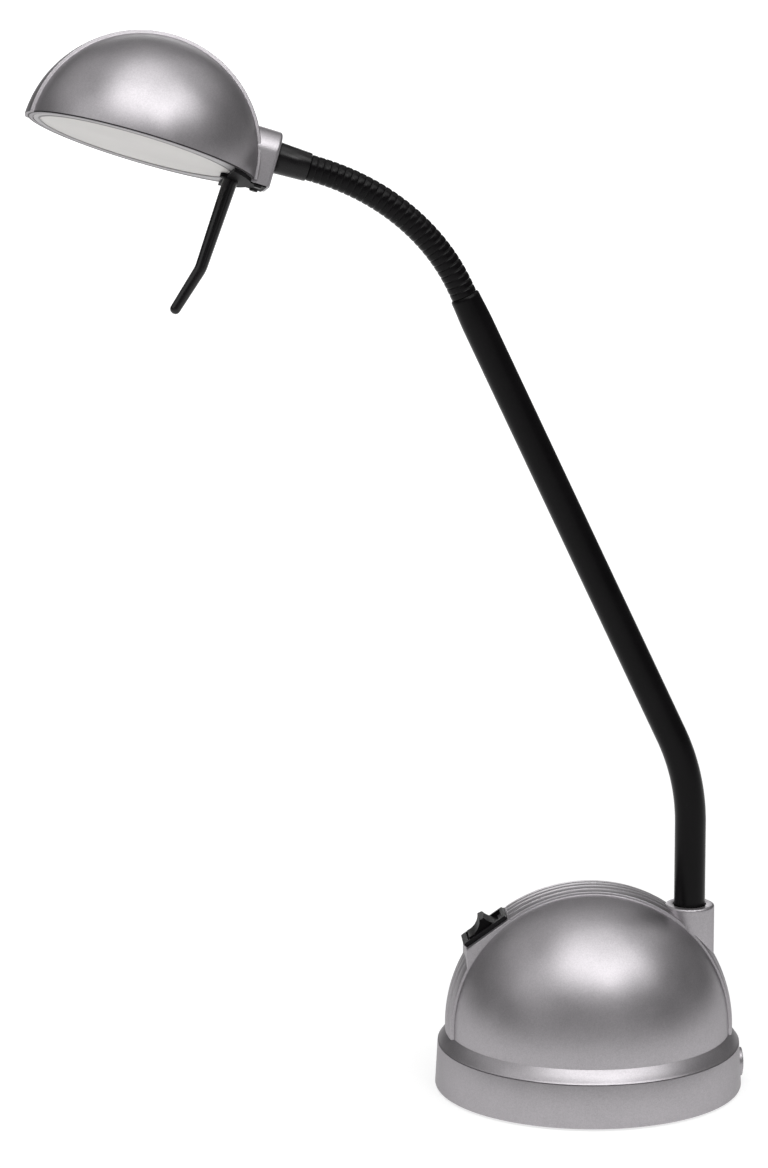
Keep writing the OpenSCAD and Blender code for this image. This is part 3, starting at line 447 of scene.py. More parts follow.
brass = plainSkin("terminalBrass", (0.72, 0.5, 0.2),
                  rough=0.3, grain=1500.0, depth=0.00001, metal=1.0)
laminations = layered("coreLaminations", (0.06, 0.06, 0.065), (0.28, 0.28, 0.3),
                      spacing=0.5 * mm, axis="Y", metal=0.8, rough=0.5)
windings = layered("copperWindings", (0.3, 0.1, 0.03), (0.7, 0.3, 0.12),
                   spacing=0.7 * mm, axis="Z", metal=0.9, rough=0.35)
mirrorMetal = plainSkin("reflectorMetal", (0.86, 0.87, 0.88),
                        rough=0.16, grain=300.0, depth=0.00002, metal=1.0, vary=0.03)
lensGlass = frostedGlass("lensGlass")
bulbGlass = clearGlass("bulbGlass")
print("finishes made")


def dress(piece, material):
    piece.data.materials.clear()
    piece.data.materials.append(material)
    return piece


# Domed shells with a raised spine.

# Half width of the flared spine at a height above the middle of the dome.
def spineHalf(s, height):
    outer = s["radius"] + s["rise"]
    return (s["foot"] + (s["top"] - s["foot"]) * height / outer) / 2


# Columns across one half of the dome: share of the spine's half width, offset, depth.
def spineColumns(s):
    columns = [(0.0, 0.0, 0.0)]
    if s["grooves"]:
        w, d = s["grooveWidth"] / 2, s["grooveDepth"]
        cut = [(w + 0.16, 0.0), (w + 0.04, 0.05), (w - 0.05, d * 0.6), (w - 0.17, d), (0.0, d)]
        columns = [(0.0, offset, -depth) for offset, depth in reversed(cut)]
        columns += [(0.25, 0.0, 0.0)]
        columns += [(0.5, -offset, -depth) for offset, depth in cut]
        columns += [(0.5, offset, -depth) for offset, depth in reversed(cut[:-1])]
    columns += [(0.75, 0.0, 0.0)]
    edge, fillet, steps = s["edge"], s["fillet"], 4
    turns = [math.pi / 2 * k / steps for k in range(steps + 1)]
    columns += [(1.0, -edge + edge * math.sin(turn), -edge + edge * math.cos(turn)) for turn in turns]
    for turn in turns:
        columns.append((1.0, fillet - fillet * math.cos(turn),
                        -s["rise"] + fillet - fillet * math.sin(turn)))
    return columns


# A point of the dome at a turn over the spine, on a column.
def domePoint(s, column, kind, share):
    outer = s["radius"] + s["rise"]
    radius = s["radius"] if kind == "cheek" else outer + column[2]
    low = s["low"]
    y, height = 0.0, outer * math.sin(math.pi * share)
    for _ in range(5):
        half = spineHalf(s, height)
        if kind == "cheek":
            start = math.asin((half + s["fillet"]) / radius)
            end = math.acos(max(low, 0.0) / radius)
            y = radius * math.sin(start + (end - start) * column)
        else:
            y = column[0] * half + column[1]
        reach = math.sqrt(max(radius * radius - y * y, low * low if low > 0 else 0.0))
        first = math.asin(min(1.0, low / reach)) if low > 0 and reach > 0 else 0.0
        turn = first + (math.pi - 2 * first) * share
        height = reach * math.sin(turn)
    return Vector((reach * math.cos(turn), y, height))


# A closed shell with its spine from front to rear. The function lower can move its points.
def spinedDome(name, s, place, lower=None):
    rows = sorted(set([k / s["rows"] for k in range(s["rows"] + 1)] + s.get("extraRows", [])))
    half = [("spine", c) for c in spineColumns(s)]
    half += [("cheek", (k / s["cheeks"]) ** 0.9) for k in range(1, s["cheeks"] + 1)]
    grid = []
    for share in rows:
        line = [domePoint(s, c, kind, share) for kind, c in half]
        if lower:
            line = [lower(p, kind) for p, (kind, c) in zip(line, half)]
        mirrored = [Vector((p.x, -p.y, p.z)) for p in reversed(line[1:])]
        grid.append(mirrored + line)
    if s["skirt"]:
        for end in (0, -1):
            foot = [Vector((p.x, p.y, -s["skirt"])) for p in grid[end]]
            grid = [foot] + grid if end == 0 else grid + [foot]
    inner = []
    insideRadius = s["radius"] - s["thick"]
    for line in grid:
        inner.append([])
        for p in line:
            q = p * (insideRadius / max(p.length, 1e-6))
            if line in (grid[0], grid[-1]) or (s["low"] > 0 and q.z < s["low"]):
                flatShare = insideRadius / max(math.hypot(p.x, p.y), 1e-6)
                q = Vector((p.x * flatShare, p.y * flatShare, p.z))
            inner[-1].append(q)
    count = len(grid[0])
    points = [p for line in grid for p in line] + [p for line in inner for p in line]
    shift = len(grid) * count
    faces = []
    for r in range(len(grid) - 1):
        for c in range(count - 1):
            a, b = r * count + c, (r + 1) * count + c
            faces.append((a, a + 1, b + 1, b))
            faces.append((shift + a, shift + b, shift + b + 1, shift + a + 1))
    for r in (0, len(grid) - 1):
        for c in range(count - 1):
            a = r * count + c
            quad = (a, shift + a, shift + a + 1, a + 1)
            faces.append(quad if r == 0 else tuple(reversed(quad)))
    return meshPiece(name, points, faces, place, 40.0)


baseDome = {
    "radius": base["domeRadius"], "rise": base["spineRise"],
    "top": base["spineTop"], "foot": base["spineFoot"],
    "low": 0.0, "skirt": 2.4, "thick": base["shellThick"], "rows": 180, "cheeks": 44,
    "grooves": True, "grooveWidth": 0.9, "grooveDepth": 0.55, "edge": 0.3, "fillet": 0.35,
}
slope = math.radians(switch["slope"])
upSlope = Vector((math.cos(slope), 0, math.sin(slope)))
offSlope = Vector((-math.sin(slope), 0, math.cos(slope)))
platform = base["domeRadius"] + base["spineRise"] - switch["sink"]
slopeRear = -switch["slide"] + switch["long"] / 2 + switch["rear"]
slopeFront = -switch["slide"] - switch["long"] / 2 - switch["front"]
stepShare = (math.acos(slopeRear / (base["domeRadius"] + base["spineRise"])) + slope) / math.pi
stepRows = (-0.0012, -0.0002, 0.0002)      # close rows at the rear edge of the switch platform
baseDome["extraRows"] = [stepShare + offset for offset in stepRows]
sinkDepth = 0.4
sinkMargin = 0.005


# Sinks the spine under the switch platform.
def sinkUnderSwitch(p, kind):
    before = p.x < 0 and p.dot(upSlope) < slopeRear - sinkMargin
    if kind == "spine" and before and p.dot(offSlope) > platform - sinkDepth:
        return p - offSlope * (p.dot(offSlope) - platform + sinkDepth)
    return p


domeSkin = dress(spinedDome("baseDomeSkin", baseDome, domePlace, sinkUnderSwitch), silverPaint)
print("base dome:", len(domeSkin.data.polygons), "faces")

# The rest of the base housing.

shoulderForm = {
    "bulge": 0.15, "steps": 12, "lipIn": 0.05, "lipUp": 0.22, "ledgeIn": 1.5, "ledgeOut": 0.3,
    "topIn": 2.0, "rootIn": 5.0, "rootUp": 2.0,
}
shoulderWidth = base["wallTopRadius"] - base["domeRadius"]
shoulderRise = base["shoulderTop"] - base["wallTop"]
sweep = []
for k in range(shoulderForm["steps"] + 1):
    t = k / shoulderForm["steps"]
    lift = shoulderForm["bulge"] * math.sin(math.pi * t)
    sweep.append((base["wallTopRadius"] - shoulderWidth * t + lift,
                  base["wallTop"] + shoulderRise * t + lift))
sweep[0] = (base["wallTopRadius"] - shoulderForm["lipIn"], base["wallTop"] + shoulderForm["lipUp"])
shoulderOutline = [
    (base["wallInside"] - shoulderForm["ledgeIn"], base["wallTop"]),
    (base["wallTopRadius"] - shoulderForm["ledgeOut"], base["wallTop"]),
    *sweep,
    (base["domeRadius"] - shoulderForm["topIn"], base["shoulderTop"]),
    (base["wallInside"] - shoulderForm["rootIn"], base["wallTop"] + shoulderForm["rootUp"]),
]
shoulder = dress(turnedPiece("baseShoulder", shoulderOutline, steps=256), silverPaint)

seam = base["wallTop"] - 0.1
wallOutline = [                            # the steps under 0.7 ease its edges
    (base["wallRadius"] - 0.6, base["wallFoot"]), (base["wallRadius"] - 0.15, base["wallFoot"] + 0.15),
    (base["wallRadius"], base["wallFoot"] + 0.6), (base["wallTopRadius"] + 0.02, seam - 0.35),
    (base["wallTopRadius"] - 0.06, seam - 0.1), (base["wallTopRadius"] - 0.3, seam),
    (base["wallInside"], seam), (base["wallInside"], base["wallFoot"]),
]
wall = dress(turnedPiece("baseWall", wallOutline, steps=256), silverPaint)

collar = {"radius": 10.5, "top": 78.8, "foot": 52.0, "edge": 1.0, "bore": 6.98}
collarCorner = (collar["radius"] - collar["edge"], collar["top"] - collar["edge"])
collarOutline = [
    (collar["radius"], collar["foot"]), *roundCorner(*collarCorner, collar["edge"], 0, 90),
    (collar["bore"] + 0.35, collar["top"]), (collar["bore"] + 0.08, collar["top"] - 0.12),
    (collar["bore"], collar["top"] - 0.4), (collar["bore"], collar["foot"]),
]
collarPlace = Matrix.Translation((tube["x"] * mm, 0, 0))
armCollar = dress(turnedPiece("armCollar", collarOutline, collarPlace, 128), silverPaint)

platformForm = {"rearDeep": 7.0, "frontDeep": 14.0, "proud": 0.03, "edge": 0.45, "edgeSteps": 4}
frontTop = upSlope * slopeFront + offSlope * platform
rearTop = upSlope * slopeRear + offSlope * platform
corners = [
    frontTop, rearTop, rearTop - Vector((0, 0, platformForm["rearDeep"])),
    Vector((frontTop.x, 0, frontTop.z - platformForm["frontDeep"])),
]
platformPoints = []
for side in (-1, 1):
    for c in corners:
        platformPoints.append((c.x, side * (spineHalf(baseDome, c.z) + platformForm["proud"]), c.z))
platformFaces = [(0, 1, 2, 3), (7, 6, 5, 4), (0, 4, 5, 1), (1, 5, 6, 2), (2, 6, 7, 3), (3, 7, 4, 0)]
switchPlatform = meshPiece("switchPlatform", platformPoints, platformFaces, domePlace, 30.0)
dress(switchPlatform, silverPaint)
platformEdge = switchPlatform.modifiers.new("easedEdges", "BEVEL")
platformEdge.width = platformForm["edge"] * mm
platformEdge.segments = platformForm["edgeSteps"]
print("base housing made")

# Switch, gland.

bezel = dress(easedCopy("switchBezel", "switch_housing", 0.25), satinBlack)
bezelFront = -switch["slide"] - switch["long"] / 2 + switch["leanLong"]
for corner in bezel.data.vertices:         # the front end of the bezel leans out over the slope
    spot = corner.co - domePlace.translation
    lift = spot.dot(offSlope) / mm - platform
    if lift > switch["leanFrom"] and spot.dot(upSlope) / mm < bezelFront:
        corner.co -= upSlope * (switch["overhang"] * min(1.0, lift / switch["bezelRise"]) * mm)
rocker = dress(easedCopy("rockerKey", "switch_rocker", 0.3), keyBlack)

gland = {
    "bore": 3.2, "neck": 4.6, "flange": 5.4, "flangeLong": 1.8, "height": 8.6, "inner": 59.3,
    "wall": 64.5, "nose": 1.4, "sill": 6.1, "sillOut": 65.6, "sillLong": 3.5, "sillGap": 0.12,
}
flangeEnd = gland["inner"] + gland["flangeLong"]
noseEnd = gland["wall"] + gland["nose"]
glandOutline = [                           # the small steps ease its edges
    (gland["bore"], gland["inner"]), (gland["flange"] - 0.4, gland["inner"]),
    (gland["flange"], gland["inner"] + 0.4), (gland["flange"], flangeEnd),
    (gland["neck"], flangeEnd), (gland["neck"], gland["wall"]), (gland["neck"], gland["wall"] + 1.0),
    (gland["neck"] - 0.1, gland["wall"] + 1.25), (gland["neck"] - 0.4, noseEnd),
    (gland["bore"] + 0.5, noseEnd), (gland["bore"], gland["wall"] + 1.1),
]
glandPlace = Matrix.Translation((0, 0, gland["height"] * mm)) @ Matrix.Rotation(math.pi / 2, 4, "Y")
cordGland = dress(turnedPiece("cordGland", glandOutline, glandPlace, 64), rubber)
sillInside, sillRoot = gland["neck"] + gland["sillGap"], gland["wall"] - gland["sillLong"]
sillOutline = [
    (sillInside, sillRoot), (gland["sill"], sillRoot), (gland["sill"], gland["sillOut"] - 0.4),
    (gland["sill"] - 0.12, gland["sillOut"] - 0.12), (gland["sill"] - 0.4, gland["sillOut"]),
    (gland["neck"] + 0.4, gland["sillOut"]), (sillInside, gland["sillOut"] - 0.2),
]
glandSill = dress(turnedPiece("glandSill", sillOutline, glandPlace, 64), silverPaint)

# Arm tube and handle: a path with one bend.

# Sweeps a ring along a curve, as wide as the radius says.
def sweepRing(t, curve, radius, sides):
    sized = t.add("GeometryNodeSetCurveRadius", Curve=curve, Radius=radius)
    ring = t.add("GeometryNodeCurvePrimitiveCircle", {"mode": "RADIUS"}, Resolution=sides, Radius=1.0)
    swept = t.add("GeometryNodeCurveToMesh", Curve=sized.outputs[0],
                  Profile_Curve=ring.outputs[0], Fill_Caps=True)
    if "Scale" in swept.inputs:
        reach = t.add("GeometryNodeInputRadius").outputs[0]
        t.tree.links.new(reach, swept.inputs["Scale"])
    return swept.outputs[0]


# Tree: a straight run, a bend and a second run, with a taper and a rounded end.
def makeBentRod():
    tree, t, entry, sockets = startTree("bentRod", {
        "Low run": 0.07, "High run": 0.2, "Bend radius": 0.09, "Bend angle": 0.4,
        "Root radius": 0.006, "Tip radius": 0.006, "Draw start": 0.28, "Draw": 0.0,
        "End round": 0.001, "End keep": 0.9, "Samples": 200, "Sides": 48,
    })
    n = {name: entry.outputs[name] for name in sockets}
    arcLength = t.math("MULTIPLY", n["Bend radius"], n["Bend angle"])
    whole = t.math("ADD", t.math("ADD", n["Low run"], arcLength), n["High run"])
    line = t.add("GeometryNodeMeshLine", {"mode": "OFFSET"}, Count=n["Samples"])
    curve = t.add("GeometryNodeMeshToCurve", Mesh=line.outputs[0])
    index = t.add("GeometryNodeInputIndex").outputs[0]
    share = t.math("DIVIDE", index, t.math("SUBTRACT", n["Samples"], 1.0))
    along = t.math("MULTIPLY", share, whole)
    turn = t.math("DIVIDE", t.math("SUBTRACT", along, n["Low run"]), n["Bend radius"])
    turn = t.math("MAXIMUM", t.math("MINIMUM", turn, n["Bend angle"]), 0.0)
    past = t.math("MAXIMUM", t.math("SUBTRACT", along, t.math("ADD", n["Low run"], arcLength)), 0.0)
    x = t.math("SUBTRACT", t.math("MULTIPLY", n["Bend radius"], t.math("COSINE", turn)), n["Bend radius"])
    x = t.math("SUBTRACT", x, t.math("MULTIPLY", past, t.math("SINE", n["Bend angle"])))
    z = t.math("MULTIPLY", n["Bend radius"], t.math("SINE", turn))
    z = t.math("ADD", t.math("MINIMUM", along, n["Low run"]), z)
    z = t.math("ADD", z, t.math("MULTIPLY", past, t.math("COSINE", n["Bend angle"])))
    spot = t.add("ShaderNodeCombineXYZ", X=x, Z=z).outputs[0]
    path = t.add("GeometryNodeSetPosition", Geometry=curve.outputs[0], Position=spot)
    radius = spread(t, share, n["Root radius"], n["Tip radius"])
    drawn = t.ramp(along, n["Draw start"], whole, 0.0, n["Draw"], smooth=True)
    radius = t.math("SUBTRACT", radius, drawn)
    near = t.ramp(along, t.math("SUBTRACT", whole, n["End round"]), whole)
    dome = t.math("MAXIMUM", t.math("SUBTRACT", 1.0, t.math("MULTIPLY", near, near)), 0.0)
    dome = spread(t, t.math("SQRT", dome), n["End keep"], 1.0)
    endTree(t, entry, sweepRing(t, path.outputs[0], t.math("MULTIPLY", radius, dome), n["Sides"]))
    return tree, sockets


bentRod, bentRodSockets = makeBentRod()
lean = math.radians(tube["lean"])
bendRun = tube["bend"] * math.tan(lean / 2)
lowRun = tube["vertex"] - bendRun - tube["foot"]
highRun = tube["upper"] - bendRun
armTube = grow("armTube", bentRod, bentRodSockets, {
    "Low run": lowRun * mm, "High run": highRun * mm, "Bend radius": tube["bend"] * mm, "Bend angle": lean,
    "Root radius": tube["radius"] * mm, "Tip radius": tube["radius"] * mm,
    "Draw start": (lowRun + tube["bend"] * lean + highRun - tube["mouth"]) * mm, "Draw": tube["draw"] * mm,
    "End round": 1.2 * mm, "End keep": 0.9, "Samples": 420, "Sides": 64,
}, tubeBlack, Matrix.Translation((tube["x"] * mm, 0, tube["foot"] * mm)))
print("arm tube:", len(armTube.data.polygons), "faces")

handle = {
    "x": 15.3, "root": -14.3, "lean": 2.5, "upper": 38.5, "lower": 21.7, "bend": 13.4, "bendRadius": 14.0,
    "rootRadius": 3.1, "tipRadius": 2.15,
}
handleBend = math.radians(handle["bend"])
handleRun = handle["bendRadius"] * math.tan(handleBend / 2)
handlePlace = (
    headPlace @ Matrix.Translation((handle["x"] * mm, 0, handle["root"] * mm))
    @ Matrix.Rotation(-math.radians(handle["lean"]), 4, "Y") @ Matrix.Rotation(math.pi, 4, "X")
    @ Matrix.Rotation(math.pi, 4, "Z")
)
aimHandle = grow("aimHandle", bentRod, bentRodSockets, {
    "Low run": (handle["upper"] - handleRun) * mm, "High run": (handle["lower"] - handleRun) * mm,
    "Bend radius": handle["bendRadius"] * mm, "Bend angle": handleBend,
    "Root radius": handle["rootRadius"] * mm, "Tip radius": handle["tipRadius"] * mm,
    "Draw start": 1.0, "Draw": 0.0, "End round": handle["tipRadius"] * mm, "End keep": 0.04,
    "Samples": 200, "Sides": 40,
}, handleBlack, handlePlace)

# Ribbed neck.

# Tree: a closed sleeve along a gentle curve, with round ribs and narrow grooves at a pitch.
def makeRibbedSleeve():
    tree, t, entry, sockets = startTree("ribbedSleeve", {
        "Start": (0.0, 0.0, 0.0), "Middle": (0.0, 0.0, 0.004), "End": (0.0, 0.0, 0.009),
        "Rib count": 3.0, "Rib phase": 0.0,
        "Crest": 0.0055, "Crown": 0.0001, "Groove": 0.0003, "Groove half": 0.2,
        "Samples": 72, "Sides": 56,
    })
    n = {name: entry.outputs[name] for name in sockets}
    curve = t.add("GeometryNodeCurveQuadraticBezier", Resolution=n["Samples"], Start=n["Start"],
                  Middle=n["Middle"], End=n["End"])
    share = t.add("GeometryNodeSplineParameter").outputs["Factor"]
    place = t.math("ADD", t.math("MULTIPLY", share, n["Rib count"]), n["Rib phase"])
    turn = t.math("COSINE", t.math("MULTIPLY", place, 2 * math.pi))
    crown = t.math("MULTIPLY", t.math("MULTIPLY", t.math("SUBTRACT", 1.0, turn), 0.5), n["Crown"])
    off = t.math("ABSOLUTE", t.math("SUBTRACT", t.math("FRACT", place), 0.5))
    groove = t.ramp(off, 0.0, n["Groove half"], n["Groove"], 0.0, smooth=True)
    radius = t.math("SUBTRACT", t.math("SUBTRACT", n["Crest"], crown), groove)
    endTree(t, entry, sweepRing(t, curve.outputs[0], radius, n["Sides"]))
    return tree, sockets


ribbedSleeve, sleeveSockets = makeRibbedSleeve()
linkLong = neck["pitch"] * neck["ribs"] * mm
jointNames = sorted((name for name in joints if name.startswith("neck_")),
                    key=lambda name: int(name.split("_")[-1]))
jointSpots = [Vector(joints[name]["pos_m"]) for name in jointNames]
tubeWay = Vector((-math.sin(lean), 0, math.cos(lean)))
mouth = jointSpots[0] - linkLong * tubeWay
neckSpots = [mouth] + jointSpots + [jointSpots[-1] + linkLong * headAxis]
halfWays = [(here + there) / 2 for here, there in zip(neckSpots, neckSpots[1:])]
neckBodies = [joints[jointNames[0]]["parent"]] + [joints[name]["child"] for name in jointNames]
neckNodes = ["neck_root"] + ["neck_link_%d" % i for i in range(1, 9)] + ["neck_end"]


# One stretch of the sleeve: it bends at the middle point, and its ribs are counted from one end.
def sleevePiece(name, start, middle, end, ribFirst):
    ribCount = (end - start).length / (neck["pitch"] * mm)
    return grow(name, ribbedSleeve, sleeveSockets, {
        "Start": start, "Middle": middle, "End": end,
        "Rib count": ribCount, "Rib phase": 0.0 if ribFirst else -ribCount,
        "Crest": neck["crest"] * mm, "Crown": neck["crown"] * mm, "Groove": neck["groove"] * mm,
        "Groove half": neck["grooveHalf"], "Samples": neck["samples"], "Sides": neck["sides"],
    }, neckBlack, sharp=60.0)


neckRoot = sleevePiece("neckSleeveRoot", mouth - neck["inMouth"] * mm * tubeWay, mouth,
                       halfWays[0], False)
neckEnd = sleevePiece("neckSleeveEnd", halfWays[-1], (halfWays[-1] + neckSpots[-1]) / 2,
                      neckSpots[-1] + neck["inFerrule"] * mm * headAxis, True)
neckSleeves = []
for i, spot in enumerate(jointSpots):
    piece = sleevePiece("neckSleeve%d" % (i + 1), halfWays[i], spot, halfWays[i + 1], True)
    neckSleeves.append(piece)
print("neck:", len(neckSleeves) + 2, "sleeve pieces")

ferrule = {
    "long": 14.0, "neck": 6.0, "head": 6.65, "gap": 0.15, "journal": 5.0, "journalLong": 12.0,
    "bore": 4.45, "boreLong": 5.0, "wireWay": 2.35,
}
ferruleOutline = [
    (ferrule["bore"], -ferrule["long"]), (ferrule["neck"] - 0.55, -ferrule["long"]),
    (ferrule["neck"] - 0.15, -ferrule["long"] + 0.15), (ferrule["neck"], -ferrule["long"] + 0.55),
    (ferrule["head"], -ferrule["gap"] - 0.3), (ferrule["head"] - 0.1, -ferrule["gap"] - 0.06),
    (ferrule["head"] - 0.35, -ferrule["gap"]), (ferrule["journal"], -ferrule["gap"]),
    (ferrule["journal"], ferrule["journalLong"]), (ferrule["wireWay"], ferrule["journalLong"]),
    (ferrule["wireWay"], -ferrule["long"] + ferrule["boreLong"]),
    (ferrule["bore"], -ferrule["long"] + ferrule["boreLong"]),
]
neckFerrule = dress(turnedPiece("neckFerrule", ferruleOutline, leaning(bossFace, headLean), 96), glossBlack)

# Shade.

shadeDome = {
    "radius": shade["radius"], "rise": shade["spineRise"],
    "top": shade["spineTop"], "foot": shade["spineRim"], "low": shade["drop"] - shade["rim"],
    "skirt": 0, "thick": shade["thick"], "rows": 170, "cheeks": 40,
    "grooves": False, "edge": 0.3, "fillet": 0.35,
}
shadeMiddle = headPlace @ Matrix.Translation((shade["reach"] * mm, 0, -shade["drop"] * mm))
shadeSkin = dress(spinedDome("shadeSkin", shadeDome, shadeMiddle), silverPaint)


# The boss behind the shade: an arch with straight sides and a rounded face edge.
def arch(radius, floor, steps=40):
    line = [(-radius, floor)]
    turns = [math.pi * k / steps for k in range(steps + 1)]
    line += [(-radius * math.cos(turn), radius * math.sin(turn)) for turn in turns]
    return line + [(radius, floor)]


bossFoot = -shade["rim"] - shade["bossLip"]
bossRings = []
for k in range(shade["bossSteps"] + 1):
    turn = math.pi / 2 * k / shade["bossSteps"]
    inset = shade["bossEdge"] * (1 - math.sin(turn))
    bossRings.append((shade["bossEdge"] * (1 - math.cos(turn)),
                      arch(shade["bossRadius"] - inset, bossFoot)))
bossRings.append((shade["bossDeep"], arch(shade["bossRadius"], bossFoot)))
bossPoints = [(x, y, z) for x, line in bossRings for y, z in line]
ringLong = len(bossRings[0][1])
bossFaces = [tuple(range(ringLong)), tuple(reversed(range(len(bossPoints) - ringLong, len(bossPoints))))]
for r in range(len(bossRings) - 1):
    for c in range(ringLong):
        d = (c + 1) % ringLong
        near, far = r * ringLong, (r + 1) * ringLong
        bossFaces.append((near + c, far + c, far + d, near + d))
shadeBoss = dress(meshPiece("shadeBoss", bossPoints, bossFaces, headPlace, 40.0), silverPaint)

trimRing = dress(easedCopy("trimRing", "lens_ring", 0.3), silverRim)

# The lens: a seat above the ledge, and a gently crowned face that fills the window.
lens = {
    "x": 56.2, "window": 41.18, "seat": 42.3, "ledge": 1.0, "thick": 3.0, "inset": 0.25,
    "crown": 0.75, "steps": 14, "eased": 0.35, "sideGap": 0.04, "seatGap": 0.15, "ledgeGap": 0.02,
}
lensFloor = -shade["rim"]
lensFace = lensFloor + lens["inset"]
lensSide = lens["window"] - lens["sideGap"]
seatSide = lens["seat"] - lens["seatGap"]
seatFloor = lensFloor + lens["ledge"] + lens["ledgeGap"]
lensOutline = []
for k in range(lens["steps"] + 1):
    share = k / lens["steps"]
    lensOutline.append(((lens["window"] - lens["eased"]) * share,
                        lensFace - lens["crown"] * (1 - share ** 2)))
lensOutline += [
    (lens["window"] - 0.12, lensFace + 0.1), (lensSide, lensFace + 0.3), (lensSide, seatFloor),
    (seatSide, seatFloor), (seatSide, lensFloor + lens["thick"]), (0.0, lensFloor + lens["thick"]),
]
lensPlace = headPlace @ Matrix.Translation((lens["x"] * mm, 0, 0))
lensDisc = dress(turnedPiece("lensDisc", lensOutline, lensPlace, 160, 30.0), lensGlass)
rearPlate = dress(easedCopy("rearPlate", "rear_plate", 0.25), plateBlack)

# Round trims of the mouth: a thin dark band along the outside of the shell's rim, painted shadow of the gap
# there, and a bead where the lens meets its ring, whose grey is painted shade of that step.
mouthTrim = {
    "edgeOut": 48.14, "edgeIn": 47.5, "edgeUp": 0.5, "edgeDown": 0.06, "edgeSide": 0.02,
    "bead": 40.85, "beadRadius": 0.34, "beadUp": 0.1, "beadHalf": 5,
}
edgeTop, edgeFoot = lensFloor + mouthTrim["edgeUp"], lensFloor - mouthTrim["edgeDown"]
edgeSide = lensFloor - mouthTrim["edgeSide"]
edgeOutline = [
    (mouthTrim["edgeIn"], edgeTop), (mouthTrim["edgeOut"], edgeTop), (mouthTrim["edgeOut"], edgeSide),
    (mouthTrim["edgeOut"] - 0.15, edgeFoot), (mouthTrim["edgeIn"] + 0.1, edgeFoot),
    (mouthTrim["edgeIn"], edgeSide),
]
edgePlace = headPlace @ Matrix.Translation((shade["reach"] * mm, 0, 0))
# A thin dark band round the outside of the shell's rim: painted shadow of the gap between shell and trim.
rimShadowBand = dress(turnedPiece("rimShadowBand", edgeOutline, edgePlace, 160), rimShadowBlack)
beadOutline = []
for k in range(2 * mouthTrim["beadHalf"]):
    turn = math.pi * k / mouthTrim["beadHalf"]
    beadOutline.append((mouthTrim["bead"] + mouthTrim["beadRadius"] * math.cos(turn),
                        lensFloor + mouthTrim["beadUp"] + mouthTrim["beadRadius"] * math.sin(turn)))
# The bead's darker grey is painted shade of the step between lens and ring.
lensBead = dress(turnedPiece("lensBead", beadOutline, lensPlace, 160), beadShadeGrey)
print("shade made")

# Who moves with whom, and what stands for what.

rides = [
    (domeSkin, "base", ["base_dome"], "silver_paint"),
    (shoulder, "base", ["base_dome"], "silver_paint"),
    (switchPlatform, "base", ["base_dome"], "silver_paint"),
    (armCollar, "base", ["base_dome"], "silver_paint"),
    (wall, "base", ["base_ring"], "silver_paint"),
    (glandSill, "base", ["base_ring"], "silver_paint"),
    (bezel, "base", ["switch_housing"], "black_plastic"),
    (cordGland, "base", ["cord_grommet"], "black_rubber"),
    (rocker, "rocker", ["switch_rocker"], "gloss_black"),
    (armTube, "arm", ["arm_tube"], "black_paint"),
    (neckRoot, neckBodies[0], [neckNodes[0]], "black_neck"),
    (neckEnd, neckBodies[-1], [neckNodes[-1]], "black_neck"),
    (neckFerrule, "tip", ["neck_ferrule"], "gloss_black"),
    (shadeSkin, "head", ["head_shell"], "silver_paint"),
    (shadeBoss, "head", ["head_shell"], "silver_paint"),
    (trimRing, "head", ["lens_ring"], "pale_trim"),
    (lensDisc, "head", ["lens"], "frosted_glass"),
    (rimShadowBand, "head", ["head_shell"], "silver_paint"),
    (lensBead, "head", ["lens_ring"], "pale_trim"),
    (rearPlate, "head", ["rear_plate"], "black_plastic"),
    (aimHandle, "head", ["aim_handle"], "gloss_black"),
]
for piece, body, stoodFor, slot in rides:
    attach(piece, body)
    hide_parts(*stoodFor)
for i, piece in enumerate(neckSleeves):
    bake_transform(piece, neckBodies[i], neckBodies[i + 1], start=halfWays[i], end=halfWays[i + 1])
    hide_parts(*neckNodes[max(i, 1):i + 2])

# Finishes of the CAD pieces that stay.

nodeFinish = {
    "bottom_plate": steel, "foot_ring": rubber, "base_screws": steel, "transformer_core": laminations,
    "transformer_bobbin": nylon, "primary_winding": windings, "secondary_winding": windings,
    "transformer_strap": steel, "strap_screws": steel, "terminal_block": nylon, "terminal_screws": brass,
    "cord_clamp": satinBlack, "clamp_screws": steel, "switch_terminals": brass, "arm_bush": satinBlack,
    "arm_clip": steel, "neck_washer": steel, "neck_nut": steel, "reflector": mirrorMetal,
    "lamp_bracket": steel, "lamp_holder": ceramic, "holder_screws": steel, "bulb_capsule": bulbGlass,
    "bulb_pins": steel, "plate_screws": satinBlack,
}
for node, material in nodeFinish.items():
    dress(frame["nodes"][node], material)

# Floor, lamps and world.

